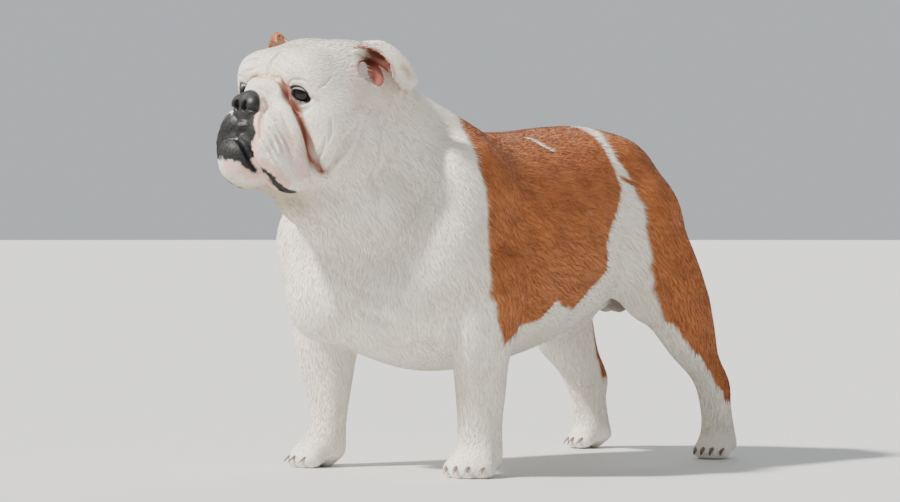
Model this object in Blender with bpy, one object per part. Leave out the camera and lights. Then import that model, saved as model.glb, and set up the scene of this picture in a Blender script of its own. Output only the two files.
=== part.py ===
"""English bulldog, a life-size standing model, cut into its named parts.

The dog faces -Y with its left side at +X, and stands on the floor at z = 0. Sizes are in metres.
The body is built whole from rounded masses, fused and smoothed, folded along strokes, and then
parted into nodes by thin cuts.
"""

import math

import bmesh
import bpy
import numpy as np
from mathutils import Matrix, Vector
from mathutils.bvhtree import BVHTree

# Driving dimensions. Every other size is in thousandths of a dog 390 mm high at the withers.
WITHERS_HEIGHT = 0.390
MM = WITHERS_HEIGHT / 390
GAP = 0.0003

# Head: the pivot is where the skull meets the neck. Head sizes are measured from it.
HEAD_PIVOT = (0, -250, 385)
HEAD_YAW, HEAD_PITCH, HEAD_ROLL = -6.0, 0.0, 4.0
EYE_AT = (45, -95, 27)
EYE_RADIUS = 12.5
LID_RADIUS = 15.0
EYE_OPENING = ((53, -107, 26), (13.5, 10, 6.8), 0, 34, 12)
EAR_HOLLOW = ((88, -22, 44), (8, 9, 17))
HEAD_STEP = 2.0

# Where the head meets the neck: the direction across the cut, and how wide the skin is smoothed
NECK_PLANE = (0, -0.82, 0.57)
NECK_BLEND = 20

SIDES = {"left": 1, "right": -1}

# Cuts between the nodes. SPARE is what a piece is left larger by until it has been thinned.
# MERGE is the distance, in metres, under which its vertices count as one before the thinning.
SPARE = 2.5
MERGE = 0.00003
FAR = 1200
FLOOR_CUT = 3.5
NECK_ROOT = (0, -128, 385)
NECK_ROOT_PLANE = (0, -0.652, 0.758)
ELBOW, WRIST = 134, 42
KNEE, HOCK = 160, 88
# Height, x, y, half width, half depth of the sheaths that part the legs from the torso
FORELEG_CUT = [
    (350, 152, -176, 22, 24),
    (334, 150, -176, 46, 50),
    (296, 150, -176, 62, 70),
    (246, 150, -176, 70, 75),
    (200, 142, -172, 66, 69),
    (164, 128, -168, 57, 60),
    (130, 118, -166, 50, 55),
    (90, 113, -167, 48, 54),
    (-10, 111, -176, 50, 66),
]
HINDLEG_CUT = [
    (342, 124, 104, 20, 26),
    (322, 130, 108, 48, 54),
    (280, 136, 112, 70, 76),
    (236, 130, 130, 72, 80),
    (196, 114, 148, 70, 76),
    (155, 107, 165, 60, 68),
    (120, 108, 186, 50, 56),
    (90, 111, 204, 42, 46),
    (-10, 112, 212, 44, 60),
]
# Middle, radii and tilt of the balls that part the small pieces
TAIL_CUT = ((0, 206, 292), (34, 26, 46), 0)
SHEATH_CUT = ((0, 96, 150), (26, 52, 24), 32)
SCROTUM_CUT = ((0, 160, 180), (36, 28, 24), 0)
# How far ahead of the toe tip's middle, in toe radii, and how high the claw runs, and its half width
CLAW_LINE = [(0.5, 16.5), (0.9, 15), (1.15, 12.5), (1.35, 9.5)]
CLAW_SIZES = (2.6, 2.6, 2.1, 0.9)

# Front end, back end, height of the middle, half width and half height of the lower jaw's cut
JAW_OVAL = (-200, -62, -66, 36, 48)
NOSE_AT, NOSE_RADII = (0, -139, 13), (25, 20, 19)

# The left ear: rows of points from the root in the skull, over the crest, to the free edge
EAR_ROWS = [
    [(56, -46, 70), (62, -26, 68), (70, -4, 56), (74, 6, 40), (76, 2, 26)],
    [(74, -44, 84), (84, -28, 85), (94, -15, 77), (103, -1, 60), (107, 8, 43)],
    [(72, -58, 76), (85, -42, 76), (97, -28, 64), (103, -24, 47), (109, -11, 29)],
]
# How far each ear is swung forward about its root, in degrees, and lifted
EAR_ROOT = (70, -50)
EAR_SWING = {"left": 0, "right": 30}
EAR_LIFT = {"left": 0, "right": 4}
EAR_COLUMNS, EAR_LINES, EAR_THICKNESS = 11, 6, 4.0


def mm(*values):
    """A point or a set of radii, from model millimetres to metres."""
    return Vector(values) * MM


def clear_scene():
    for obj in list(bpy.data.objects):
        bpy.data.objects.remove(obj)


def add_object(name, mesh):
    obj = bpy.data.objects.new(name, mesh)
    bpy.context.scene.collection.objects.link(obj)
    return obj


# Masses
def ball(clay, centre, radii, tilt=0.0, turn=0.0):
    """An ellipsoid. Tilt turns it about X and turn about Z, in degrees."""
    place = (
        Matrix.Translation(mm(*centre))
        @ Matrix.Rotation(math.radians(turn), 4, "Z")
        @ Matrix.Rotation(math.radians(tilt), 4, "X")
        @ Matrix.Diagonal((*mm(*radii), 1))
    )
    bmesh.ops.create_icosphere(clay, subdivisions=4, radius=1, matrix=place)


def pair(clay, centre, radii, tilt=0.0, turn=0.0):
    """An ellipsoid on the left side, and its mirror image on the right."""
    x, y, z = centre
    ball(clay, (x, y, z), radii, tilt, turn)
    ball(clay, (-x, y, z), radii, tilt, -turn)


def ring(centre, side, up, half_width, half_top, half_bottom, power=2.2, count=28):
    """Points round a rounded section, whose upper and lower halves may differ in height."""
    points = []
    for k in range(count):
        angle = 2 * math.pi * k / count
        c, s = math.cos(angle), math.sin(angle)
        across = math.copysign(abs(c) ** (2 / power), c) * half_width
        height = math.copysign(abs(s) ** (2 / power), s) * (half_top if s > 0 else half_bottom)
        points.append(Vector(centre) + Vector(side) * across + Vector(up) * height)
    return points


def loft(clay, rings):
    """A closed body through the rings, with a flat cap at each end."""
    loops = [[clay.verts.new(p * MM) for p in points] for points in rings]
    for a, b in zip(loops, loops[1:]):
        for k in range(len(a)):
            clay.faces.new((a[k], a[k - 1], b[k - 1], b[k]))
    clay.faces.new(loops[0])
    clay.faces.new(reversed(loops[-1]))


def barrel(clay, stations):
    """A trunk along Y. A station is (y, top, bottom, half width, height of the widest point)."""
    rings = [
        ring((0, y, mid), (1, 0, 0), (0, 0, 1), wide, top - mid, mid - bottom)
        for y, top, bottom, wide, mid in stations
    ]
    loft(clay, rings)


def column(clay, side, stations, sides=24):
    """A leg, in level sections. A station is (z, x, y, half width, half depth)."""
    rings = []
    for z, x, y, wide, deep in stations:
        low = min(max((TURN_START - z) / TURN_FADE, 0), 1)
        ahead, across = heading(side, low * TOES_OUT)
        rings.append(ring((side * x, y, z), side * across, -side * ahead, wide, deep, deep, 2, sides))
    loft(clay, rings)


def heading(side, degrees):
    """The way a foot points when it is turned outward by degrees, and the way across it."""
    angle = side * math.radians(degrees)
    ahead = Vector((math.sin(angle), -math.cos(angle), 0))
    return ahead, Vector((-ahead.y, ahead.x, 0))


# Fusing and smoothing
def fuse(name, clay, voxel):
    """Joins the overlapping masses into one even skin of quads."""
    bmesh.ops.recalc_face_normals(clay, faces=clay.faces)
    mesh = bpy.data.meshes.new(name)
    clay.to_mesh(mesh)
    clay.free()
    return remeshed(add_object(name, mesh), voxel)


def remeshed(obj, voxel):
    modifier = obj.modifiers.new("Remesh", "REMESH")
    modifier.mode = "VOXEL"
    modifier.voxel_size = voxel * MM
    return applied(obj)


def applied(obj):
    """Replaces the object's mesh by what its modifiers make of it."""
    graph = bpy.context.evaluated_depsgraph_get()
    mesh = bpy.data.meshes.new_from_object(obj.evaluated_get(graph))
    obj.modifiers.clear()
    obj.data = mesh
    return obj


def points_of(mesh):
    points = np.empty(len(mesh.vertices) * 3, np.float32)
    mesh.vertices.foreach_get("co", points)
    return points.reshape(-1, 3).astype(float)


def set_points(mesh, points):
    mesh.vertices.foreach_set("co", points.astype(np.float32).ravel())
    mesh.update()


def relax(obj, rounds, share=None):
    """Smooths the mesh. share, from 0 to 1 for each vertex, says how much of it moves."""
    mesh = obj.data
    points = points_of(mesh)
    ends = np.empty(len(mesh.edges) * 2, np.int32)
    mesh.edges.foreach_get("vertices", ends)
    a, b = ends.reshape(-1, 2).T
    count = len(points)
    degree = np.maximum(np.bincount(ends, minlength=count), 1)
    step = 0.5 if share is None else 0.5 * share[:, None]
    for _ in range(rounds):
        total = np.stack(
            [
                np.bincount(a, points[b, k], count) + np.bincount(b, points[a, k], count)
                for k in range(3)
            ],
            axis=1,
        )
        points += step * (total / degree[:, None] - points)
    set_points(mesh, points)
    return obj


def join_bodies(name, objects):
    """One object that holds the meshes of all of them, for the next remesh."""
    joined = bmesh.new()
    for obj in objects:
        mesh = obj.data.copy()
        mesh.transform(obj.matrix_world)
        joined.from_mesh(mesh)
        bpy.data.objects.remove(obj)
    mesh = bpy.data.meshes.new(name)
    joined.to_mesh(mesh)
    joined.free()
    return add_object(name, mesh)


def smooth_path(path, count):
    """count points on a Catmull-Rom curve through the path's own points."""
    knots = [Vector(p) for p in path]
    knots = [2 * knots[0] - knots[1], *knots, 2 * knots[-1] - knots[-2]]
    spans = len(knots) - 3
    points = []
    for k in range(count):
        place = spans * k / (count - 1)
        i = min(int(place), spans - 1)
        t = place - i
        a, b, c, d = knots[i : i + 4]
        points.append(
            0.5 * (2 * b + (c - a) * t + (2 * a - 5 * b + 4 * c - d) * t**2
                   + (3 * b - a - 3 * c + d) * t**3)
        )
    return points


def rope(clay, path, radii, count=14):
    """A roll of skin along a curve. radii are its half thickness at even steps along it."""
    for k, centre in enumerate(smooth_path(path, count)):
        radius = float(np.interp(k / (count - 1), np.linspace(0, 1, len(radii)), radii))
        place = Matrix.Translation(centre * MM) @ Matrix.Scale(radius * MM, 4)
        bmesh.ops.create_icosphere(clay, subdivisions=2, radius=1, matrix=place)


def mirrored(path):
    return [(-x, y, z) for x, y, z in path]


def stroke(obj, path, width, height):
    """Raises a fold along a path on the skin, or sinks a crease where height is negative.

    The path's points are drawn onto the nearest skin. It fades out at both ends.
    """
    mesh = obj.data
    skin = BVHTree.FromObject(obj, bpy.context.evaluated_depsgraph_get())
    line = [skin.find_nearest(p * MM)[0] for p in smooth_path(path, 24)]
    line = np.array([p[:] for p in line])
    points = points_of(mesh)
    reach = 2.6 * width * MM
    near = np.flatnonzero(
        ((points > line.min(0) - reach) & (points < line.max(0) + reach)).all(axis=1)
    )
    starts, steps = line[:-1], np.diff(line, axis=0)
    lengths = np.maximum((steps**2).sum(1), 1e-12)
    offset = points[near][:, None] - starts
    along = np.clip((offset * steps).sum(2) / lengths, 0, 1)
    gap = np.linalg.norm(offset - along[..., None] * steps, axis=2)
    nearest = gap.argmin(1)
    rows = np.arange(len(near))
    share = (nearest + along[rows, nearest]) / len(steps)
    fade = np.sin(np.pi * np.clip(share, 0, 1)) ** 0.6
    lift = height * MM * fade * np.exp(-((gap[rows, nearest] / (width * MM)) ** 2))
    normals = np.empty(len(points) * 3, np.float32)
    mesh.vertices.foreach_get("normal", normals)
    points[near] += normals.reshape(-1, 3)[near] * lift[:, None]
    set_points(mesh, points)


def stroke_pair(obj, path, width, height):
    stroke(obj, path, width, height)
    stroke(obj, mirrored(path), width, height)


# Trunk, neck and the big muscles
TRUNK = [
    (-266, 285, 205, 62, 245),
    (-248, 335, 165, 103, 245),
    (-205, 366, 126, 136, 240),
    (-150, 380, 110, 146, 235),
    (-90, 376, 113, 144, 240),
    (-20, 378, 129, 138, 250),
    (50, 386, 156, 126, 265),
    (96, 388, 186, 112, 285),
    (130, 378, 206, 100, 290),
    (158, 352, 222, 84, 285),
    (180, 308, 244, 56, 275),
]
NECK = [
    ((0, -112, 312), 116, 66, 100),
    ((0, -160, 330), 112, 72, 108),
    ((0, -205, 350), 98, 74, 104),
    ((0, -250, 378), 84, 72, 92),
]
NECK_UP = (0, 0.22, 0.95)
TAIL = [(0, 150, 340), (0, 176, 326), (0, 190, 302), (0, 192, 274)]


def build_trunk():
    clay = bmesh.new()
    barrel(clay, TRUNK)
    loft(clay, [ring(c, (1, 0, 0), NECK_UP, w, t, b) for c, w, t, b in NECK])
    # Dewlap
    pair(clay, (20, -308, 308), (24, 36, 44), tilt=24)
    pair(clay, (34, -262, 296), (50, 34, 50))
    # Shoulder blade, point of the shoulder, upper arm and breast muscle
    pair(clay, (98, -172, 290), (52, 66, 84), tilt=18)
    pair(clay, (106, -203, 250), (50, 52, 66))
    pair(clay, (116, -174, 205), (43, 54, 62))
    pair(clay, (58, -232, 198), (60, 42, 60))
    # Sheath, scrotum and tail
    rope(clay, [(0, 140, 200), (0, 112, 172), (0, 78, 148)], (16, 15, 10))
    pair(clay, (11, 157, 188), (15, 20, 20))
    rope(clay, TAIL, (19, 15, 11, 8))
    # Croup, thigh and buttock
    pair(clay, (54, 98, 330), (50, 62, 46), tilt=-24)
    pair(clay, (84, 108, 266), (46, 66, 76), tilt=6)
    pair(clay, (86, 134, 222), (42, 58, 70), tilt=18)
    trunk = relax(fuse("Trunk", clay, 6), 12)
    return trunk


# The feet are turned outward, in degrees. The turn starts at this height and is full this far down.
TOES_OUT = 20
TURN_START, TURN_FADE = 190, 70
# Legs, in level sections: height, x, y, half width, half depth
FORELEG = [
    (240, 118, -172, 42, 52),
    (200, 122, -170, 42, 50),
    (160, 121, -172, 35, 43),
    (125, 117, -172, 29, 36),
    (90, 113, -168, 28, 26),
    (64, 111, -167, 26, 21),
    (42, 111, -167, 26, 21),
    (14, 111, -168, 27, 25),
]
HINDLEG = [
    (270, 84, 112, 44, 60),
    (230, 92, 128, 44, 60),
    (190, 99, 146, 41, 54),
    (155, 104, 164, 34, 45),
    (122, 108, 180, 25, 39),
    (98, 110, 203, 20, 33),
    (84, 111, 210, 18.5, 31),
    (70, 111, 211, 18, 24),
    (52, 112, 214, 18, 22.5),
    (32, 112, 216, 20, 22),
    (14, 112, 219, 23, 24),
]
# How far the right feet stand from where the left ones are, mirrored: outward, along Y, and the
# height up the leg where this starts
RIGHT_FORELEG_SHIFT = (0, -26, 240)
RIGHT_HINDLEG_SHIFT = (-10, 18, 270)
# The pad of a paw: how far behind the paw's middle, and how high its own middle is
PAD_BACK, PAD_HEIGHT = 5, 11


def toe_tips(side, x, y, width, reach):
    """The middles of the four toe tips, fanned out ahead of the paw's middle (x, y)."""
    ahead, across = heading(side, TOES_OUT)
    for k in range(4):
        place = (k - 1.5) / 1.5
        tip = across * place * width + ahead * reach * (1 - 0.3 * place * place)
        yield x + tip.x, y + tip.y


def toes(clay, side, x, y, width, reach, radius):
    """The paw's toes and the pad behind them."""
    turn = side * TOES_OUT
    ball(clay, (x, y + PAD_BACK, PAD_HEIGHT), (0.85 * width, 1.15 * radius, PAD_HEIGHT), 0, turn)
    for tip_x, tip_y in toe_tips(side, x, y, width, reach):
        knuckle = (x + 0.7 * (tip_x - x), y + 0.55 * (tip_y - y), 23)
        ball(clay, knuckle, (radius, radius * 1.4, radius * 1.1), 20, turn)
        ball(clay, (tip_x, tip_y, 12), (radius * 0.98, radius * 1.15, radius * 1.04), 10, turn)


def paws():
    """Each paw as (name, side, middle x, middle y, width, reach and radius of its toes)."""
    for side, sign in SIDES.items():
        _, x, y, _, _ = stance(sign, FORELEG, RIGHT_FORELEG_SHIFT)[-1]
        yield f"fore_{side}", sign, sign * x, y - 4, 21, 27, 12
        _, x, y, _, _ = stance(sign, HINDLEG, RIGHT_HINDLEG_SHIFT)[-1]
        yield f"hind_{side}", sign, sign * x, y - 6, 16, 22, 10


def stance(side, stations, shift):
    """The stations of a leg. On the right side the foot is moved by shift, the top stays."""
    outward, along, top = shift
    placed = []
    for z, x, y, wide, deep in stations:
        share = max(0, 1 - z / top) if side < 0 else 0
        placed.append((z, x + outward * share, y + along * share, wide, deep))
    return placed


def build_legs():
    clay = bmesh.new()
    for side in SIDES.values():
        column(clay, side, stance(side, FORELEG, RIGHT_FORELEG_SHIFT))
        column(clay, side, stance(side, HINDLEG, RIGHT_HINDLEG_SHIFT))
    for _, *paw in paws():
        toes(clay, *paw)
    return relax(fuse("Legs", clay, 3), 4)


# Soft forms. A form is a function from points to their distance from its skin, inside below zero.
NEAR = 30  # a form is worked out this far round itself, and counts as out of reach beyond


def blob(centre, radii, tilt=0.0, turn=0.0, roll=0.0):
    """An ellipsoid. Roll turns it about Y, then tilt about X and turn about Z, in degrees."""
    axes = Matrix.Rotation(math.radians(turn), 3, "Z") @ Matrix.Rotation(math.radians(tilt), 3, "X")
    axes = np.array(axes @ Matrix.Rotation(math.radians(roll), 3, "Y"))
    radii = np.array(radii, float)

    def distance(points):
        place = (points - centre) @ axes
        level = np.linalg.norm(place / radii, axis=1)
        slope = np.maximum(np.linalg.norm(place / radii**2, axis=1), 1e-9)
        return level * (level - 1) / slope

    return within(distance, np.array(centre) - radii.max(), np.array(centre) + radii.max())


def tube(path, radii):
    """A round rope along a curve. radii are its half thickness at even steps along it."""
    line = np.array([p[:] for p in smooth_path(path, 5 * len(path))])
    size = np.interp(np.linspace(0, 1, len(line)), np.linspace(0, 1, len(radii)), radii)
    starts, steps = line[:-1], np.diff(line, axis=0)
    lengths = (steps**2).sum(1)

    def distance(points):
        best = np.full(len(points), 1e3)
        for start, step, length, a, b in zip(starts, steps, lengths, size, size[1:]):
            offset = points - start
            along = np.clip(offset @ step / length, 0, 1)
            gap = np.linalg.norm(offset - along[:, None] * step, axis=1)
            best = np.minimum(best, gap - a - along * (b - a))
        return best

    return within(distance, line.min(0) - size.max(), line.max(0) + size.max())


def within(distance, low, high):
    """The same form, worked out only near the box from low to high."""

    def local(points):
        near = ((points > low - NEAR) & (points < high + NEAR)).all(axis=1)
        result = np.full(len(points), 1e3)
        result[near] = distance(points[near])
        return result

    return local


def flipped(form):
    return lambda points: form(points * (-1, 1, 1))


def blended(forms):
    """The forms put on or cut away one after the other. Each is (way, blend, form).

    Way 1 adds a form and way -1 cuts it away. Blend is the width of the soft edge between them.
    """

    def distance(points):
        total = np.full(len(points), 1e3)
        for way, blend, form in forms:
            other = form(points)
            soft = np.maximum(blend - np.abs(way * total - other), 0) ** 2 / (4 * blend)
            total = way * (np.minimum(way * total, other) - soft)
        return total

    return distance


def both_sides(way, blend, form):
    return [(way, blend, form), (way, blend, flipped(form))]


def skin_of(name, distance, low, high, step):
    """The mesh where distance is zero, in even quads: one point for each grid cell it crosses."""
    axes = [np.arange(a, b + step, step) for a, b in zip(low, high)]
    shape = tuple(len(axis) for axis in axes)
    grid = np.stack(np.meshgrid(*axes, indexing="ij"), axis=-1).reshape(-1, 3)
    value = distance(grid).reshape(shape)
    total = np.zeros((*shape, 3))
    count = np.zeros(shape)
    crossings = []
    for axis in range(3):
        first = tuple(slice(0, -1) if k == axis else slice(None) for k in range(3))
        second = tuple(slice(1, None) if k == axis else slice(None) for k in range(3))
        a, b = value[first], value[second]
        edges = np.argwhere((a < 0) != (b < 0))
        i, j, k = edges.T
        share = a[i, j, k] / (a[i, j, k] - b[i, j, k])
        place = edges.astype(float)
        place[:, axis] += share
        around = [n for n in range(3) if n != axis]
        for du, dv in ((0, 0), (-1, 0), (-1, -1), (0, -1)):
            cell = edges.copy()
            cell[:, around[0]] += du
            cell[:, around[1]] += dv
            np.add.at(total, tuple(cell.T), place)
            np.add.at(count, tuple(cell.T), 1)
        crossings.append((edges, around, a[i, j, k] < 0, axis))
    used = np.argwhere(count > 0)
    index = np.full(shape, -1)
    index[tuple(used.T)] = np.arange(len(used))
    spots = total[tuple(used.T)] / count[tuple(used.T)][:, None]
    faces = []
    for edges, around, outward, axis in crossings:
        corners = []
        for du, dv in ((0, 0), (-1, 0), (-1, -1), (0, -1)):
            cell = edges.copy()
            cell[:, around[0]] += du
            cell[:, around[1]] += dv
            corners.append(index[tuple(cell.T)])
        quads = np.stack(corners, axis=1)
        turned = outward if axis != 1 else ~outward
        quads[~turned] = quads[~turned][:, ::-1]
        faces.append(quads)
    mesh = bpy.data.meshes.new(name)
    mesh.from_pydata((spots * step + low) * MM, [], np.concatenate(faces).tolist())
    return add_object(name, mesh)


# The head faces -Y, level and straight, with its pivot at the origin, until head_matrix turns it.
# Masses of the skull, then of the face: both sides or the middle, blend, centre, radii, tilt, turn.
SKULL = [
    (1, 20, (26, -38, 36), (50, 64, 50), 0, 0),
    (1, 14, (40, -88, 44), (34, 27, 27), 0, 0),
    (0, 16, (0, -84, 46), (22, 28, 27), 0, 0),
    (1, 20, (62, -56, 18), (30, 44, 36), 0, 0),
    (1, 22, (57, -47, -20), (40, 53, 50), 0, 0),
    (1, 12, (54, -70, 2), (26, 33, 24), 0, 0),
    (0, 20, (0, -4, 8), (84, 58, 72), 0, 0),
    (0, 16, (0, -86, -8), (54, 44, 46), 0, 0),
    (0, 18, (0, -66, -50), (58, 62, 38), 0, 0),
]
FACE = [
    (0, 8, (0, -104, 12), (30, 28, 24), 0, 0),
    (1, 9, (33, -108, -32), (26, 40, 41), 0, 0),
    (1, 9, (43, -106, -52), (18, 29, 25), 0, 0),
    (1, 10, (22, -114, -12), (26, 33, 25), 0, 0),
    (0, 6, (0, -118, -10), (16, 31, 12), 0, 0),
    (0, 3.5, (0, -131, 11), (23, 15, 18), 0, 0),
    (0, 2.5, (0, -130, -47), (35, 34, 27), 0, 0),
    (0, 8, (0, -140, -36), (26, 24, 18), 0, 0),
]
# The roll of skin over the nose and down to the corner of the mouth: path, half thickness
ROLL = [
    (0, -119, 32), (12, -117, 33), (24, -112, 27), (38, -112, 8),
    (51, -110, -14), (57, -108, -36), (60, -102, -58),
]
ROLL_SIZE = (8, 8.5, 9, 9.5, 9.5, 8.5, 6)
# The crease behind that roll, the fold beside the nose, the line of the mouth, the furrow of the
# forehead, the fold of the cheek and the one under the eye
BEHIND_ROLL = [
    (10, -114, 44), (24, -108, 38), (37, -104, 21), (47, -103, 4),
    (58, -102, -16), (66, -98, -34), (69, -90, -54),
]
BESIDE_NOSE = [(18, -134, 27), (26, -133, 10), (32, -138, -6), (38, -142, -20)]
MOUTH = [
    (0, -154, -17), (10, -154, -19), (20, -153, -27),
    (31, -148, -46), (38, -138, -62), (46, -120, -78),
]
FURROW = [(0, -116, 46), (0, -116, 62), (0, -98, 78)]
CHEEK_FOLD = [(98, -60, 0), (92, -74, -24), (72, -82, -54)]
UNDER_EYE = [(34, -104, 12), (46, -104, 8), (62, -92, 12)]
NOSTRIL_SLIT = [(7, -147, 9), (13, -146, 8), (21, -140, 9)]
# Creases, drawn on both sides: blend, half width at even steps, path
CREASES = [
    (3, (2, 4, 4, 4, 2), BEHIND_ROLL),
    (3, (1, 2.5, 2.5, 1), BESIDE_NOSE),
    (3, (3, 3.5, 4, 4, 2), MOUTH),
    (4, (1, 2.5, 1), FURROW),
    (6, (1, 4, 1), CHEEK_FOLD),
    (5, (0.5, 2, 0.5), UNDER_EYE),
]
SUNK = 0.1  # how far out of the skin a crease's middle lies, in half widths


def on_skin(distance, path, height):
    """The path's points moved along the slope until they lie height outside the skin."""
    points = np.array(path, float)
    for _ in range(12):
        here = distance(points)
        slope = np.stack([distance(points + step) - here for step in np.eye(3)], axis=1)
        slope /= np.maximum(np.linalg.norm(slope, axis=1, keepdims=True), 1e-6)
        points -= (here - height)[:, None] * slope
    return [tuple(p) for p in points]


def head_form():
    forms = []
    for paired, blend, centre, radii, tilt, turn in SKULL + FACE:
        form = blob(centre, radii, tilt, turn)
        forms += both_sides(1, blend, form) if paired else [(1, blend, form)]
    forms += both_sides(1, 4, tube(ROLL, ROLL_SIZE))
    forms += both_sides(-1, 5, blob(*EAR_HOLLOW))
    bare = blended(forms)
    for blend, radii, path in CREASES:
        line = on_skin(bare, path, SUNK * max(radii))
        forms += both_sides(-1, blend, tube(line, radii))
    # Eye: the socket, the lids and the opening between them
    forms += both_sides(-1, 8, blob((50, -114, 26), (15, 10, 8)))
    forms += both_sides(1, 3, blob(EYE_AT, (LID_RADIUS,) * 3))
    forms += both_sides(-1, 1.5, blob(*EYE_OPENING))
    # Nostril: the wing, the hole and the slit under the wing
    forms += both_sides(1, 3, blob((14, -138, 14), (8.5, 9, 8.5)))
    forms += both_sides(-1, 1.5, blob((6.5, -146, 14), (3.6, 9, 5.5)))
    forms += both_sides(-1, 1.5, tube(NOSTRIL_SLIT, (2, 2, 1)))
    return blended(forms)


def build_head():
    head = skin_of("Head", head_form(), (-110, -178, -100), (110, 70, 100), HEAD_STEP)
    return relax(head, 2)


def head_matrix():
    return (
        Matrix.Translation(mm(*HEAD_PIVOT))
        @ Matrix.Rotation(math.radians(HEAD_YAW), 4, "Z")
        @ Matrix.Rotation(math.radians(HEAD_PITCH), 4, "X")
        @ Matrix.Rotation(math.radians(HEAD_ROLL), 4, "Y")
    )


# Folds of the body's loose skin, drawn on both sides: path, half width, height
BODY_FOLDS = [
    ([(96, -196, 400), (108, -214, 350), (96, -246, 296), (64, -276, 262)], 12, -4),
    ([(62, -300, 300), (66, -284, 268), (52, -276, 236)], 10, -4),
    ([(0, -266, 250), (0, -250, 190), (0, -210, 128)], 12, -6),
    ([(90, -238, 176), (72, -222, 150), (84, -190, 132)], 9, -5),
    ([(146, -118, 290), (146, -112, 235), (140, -110, 180), (130, -112, 140)], 9, -4),
    ([(118, 52, 330), (124, 54, 280), (116, 56, 230), (92, 64, 190)], 20, -6),
]


def fold_body(body):
    """Creases and swellings of the loose skin over neck, chest, elbow and flank."""
    for path, width, height in BODY_FOLDS:
        stroke_pair(body, path, width, height)
    for k in range(4):
        y = -92 + 34 * k
        stroke_pair(body, [(126, y, 320), (146, y - 6, 270), (140, y, 215)], 9, 1.6)


def build_whole():
    trunk, legs, head = build_trunk(), build_legs(), build_head()
    body = join_bodies("Body", [trunk, legs])
    body = relax(remeshed(body, 4), 6)
    fold_body(body)
    head.matrix_world = head_matrix()
    bpy.context.view_layer.update()
    whole = relax(remeshed(join_bodies("Whole", [body, head]), 2.5), 2)
    # The skin of the neck runs on into the head without a line
    points = points_of(whole.data) / MM - HEAD_PIVOT
    away = (points @ NECK_PLANE) / NECK_BLEND
    return relax(whole, 30, np.exp(-(away**2)))


# Cutters. Each is a function of how much it is grown on every side, in model millimetres.
def grown(clay, grow):
    """Moves every face of a closed shape outward by the same distance."""
    bmesh.ops.recalc_face_normals(clay, faces=clay.faces)
    bmesh.ops.triangulate(clay, faces=clay.faces)
    clay.normal_update()
    steps = [v.normal * v.calc_shell_factor() * grow * MM for v in clay.verts]
    for vert, step in zip(clay.verts, steps):
        vert.co += step


def solid(name, clay, grow, visible=False):
    grown(clay, grow)
    mesh = bpy.data.meshes.new(name)
    clay.to_mesh(mesh)
    clay.free()
    obj = add_object(name, mesh)
    if not visible:
        obj.hide_render = True
        obj.display_type = "WIRE"
    return obj


def half_space(point, direction):
    """Everything on one side of a plane: a block far larger than the dog."""
    turn = Vector(direction).to_track_quat("Z", "Y").to_matrix().to_4x4()

    def cutter(grow):
        clay = bmesh.new()
        place = Matrix.Translation((0, 0, FAR / 2 * MM)) @ Matrix.Scale(FAR * MM, 4)
        bmesh.ops.create_cube(clay, size=1, matrix=Matrix.Translation(mm(*point)) @ turn @ place)
        return solid("Half space", clay, grow)

    return cutter


def ball_cutter(centre, radii, tilt=0.0, place=None, name="Ball", visible=False):
    def cutter(grow):
        clay = bmesh.new()
        matrix = (
            Matrix.Translation(mm(*centre))
            @ Matrix.Rotation(math.radians(tilt), 4, "X")
            @ Matrix.Diagonal((*mm(*radii), 1))
        )
        if place:
            matrix = place @ matrix
        bmesh.ops.create_icosphere(clay, subdivisions=3, radius=1, matrix=matrix)
        return solid(name, clay, grow, visible)

    return cutter


def leg_cutter(side, stations, shift):
    """A sheath round the whole leg, wide enough above to take the muscles of the shoulder or thigh."""
    placed = stance(side, stations, shift)

    def cutter(grow):
        clay = bmesh.new()
        column(clay, side, placed, 18)
        return solid("Leg", clay, grow)

    return cutter


def jaw_cutter(grow):
    """An upright oval bar that runs forward through the chin, along the line of the mouth."""
    front, back, z, wide, high = JAW_OVAL
    clay = bmesh.new()
    loft(clay, [ring((0, y, z), (1, 0, 0), (0, 0, 1), wide, high, high, 2.0) for y in (front, back)])
    clay.transform(head_matrix())
    return solid("Jaw", clay, grow)


def mesh_cutter(obj):
    """Another node's own skin."""

    def cutter(grow):
        clay = bmesh.new()
        clay.from_mesh(obj.data)
        return solid("Skin", clay, grow)

    return cutter


def claw_cutter(side, tip, radius, name):
    """A blunt claw that leaves the toe at its front and points forward and down."""
    ahead, across = heading(side, TOES_OUT)
    line = [Vector((*tip, z)) + ahead * radius * reach for reach, z in CLAW_LINE]
    up = Vector((0, 0, 0.87)) - ahead * 0.5

    def cutter(grow, visible=False):
        clay = bmesh.new()
        rings = [
            ring(spot, across, up, size, size, size, 2, 8)
            for spot, size in zip(line, CLAW_SIZES)
        ]
        loft(clay, rings)
        return solid(name, clay, grow, visible)

    return cutter


# Parting
def combined(obj, other, operation, solver):
    modifier = obj.modifiers.new("Cut", "BOOLEAN")
    modifier.object = other
    modifier.operation = operation
    modifier.solver = solver
    applied(obj)
    bpy.data.objects.remove(other)
    return obj


def largest_shell(obj, merge=MERGE / 30):
    """Drops every loose piece but the one with the most vertices."""
    shape = bmesh.new()
    shape.from_mesh(obj.data)
    bmesh.ops.remove_doubles(shape, verts=shape.verts, dist=merge)
    left = set(shape.verts)
    shells = []
    while left:
        shell, edge = set(), [left.pop()]
        while edge:
            vert = edge.pop()
            shell.add(vert)
            for link in vert.link_edges:
                other = link.other_vert(vert)
                if other in left:
                    left.discard(other)
                    edge.append(other)
        shells.append(shell)
    keep = max(shells, key=len)
    bmesh.ops.delete(shape, geom=[v for v in shape.verts if v not in keep], context="VERTS")
    shape.to_mesh(obj.data)
    shape.free()
    return obj


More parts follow.
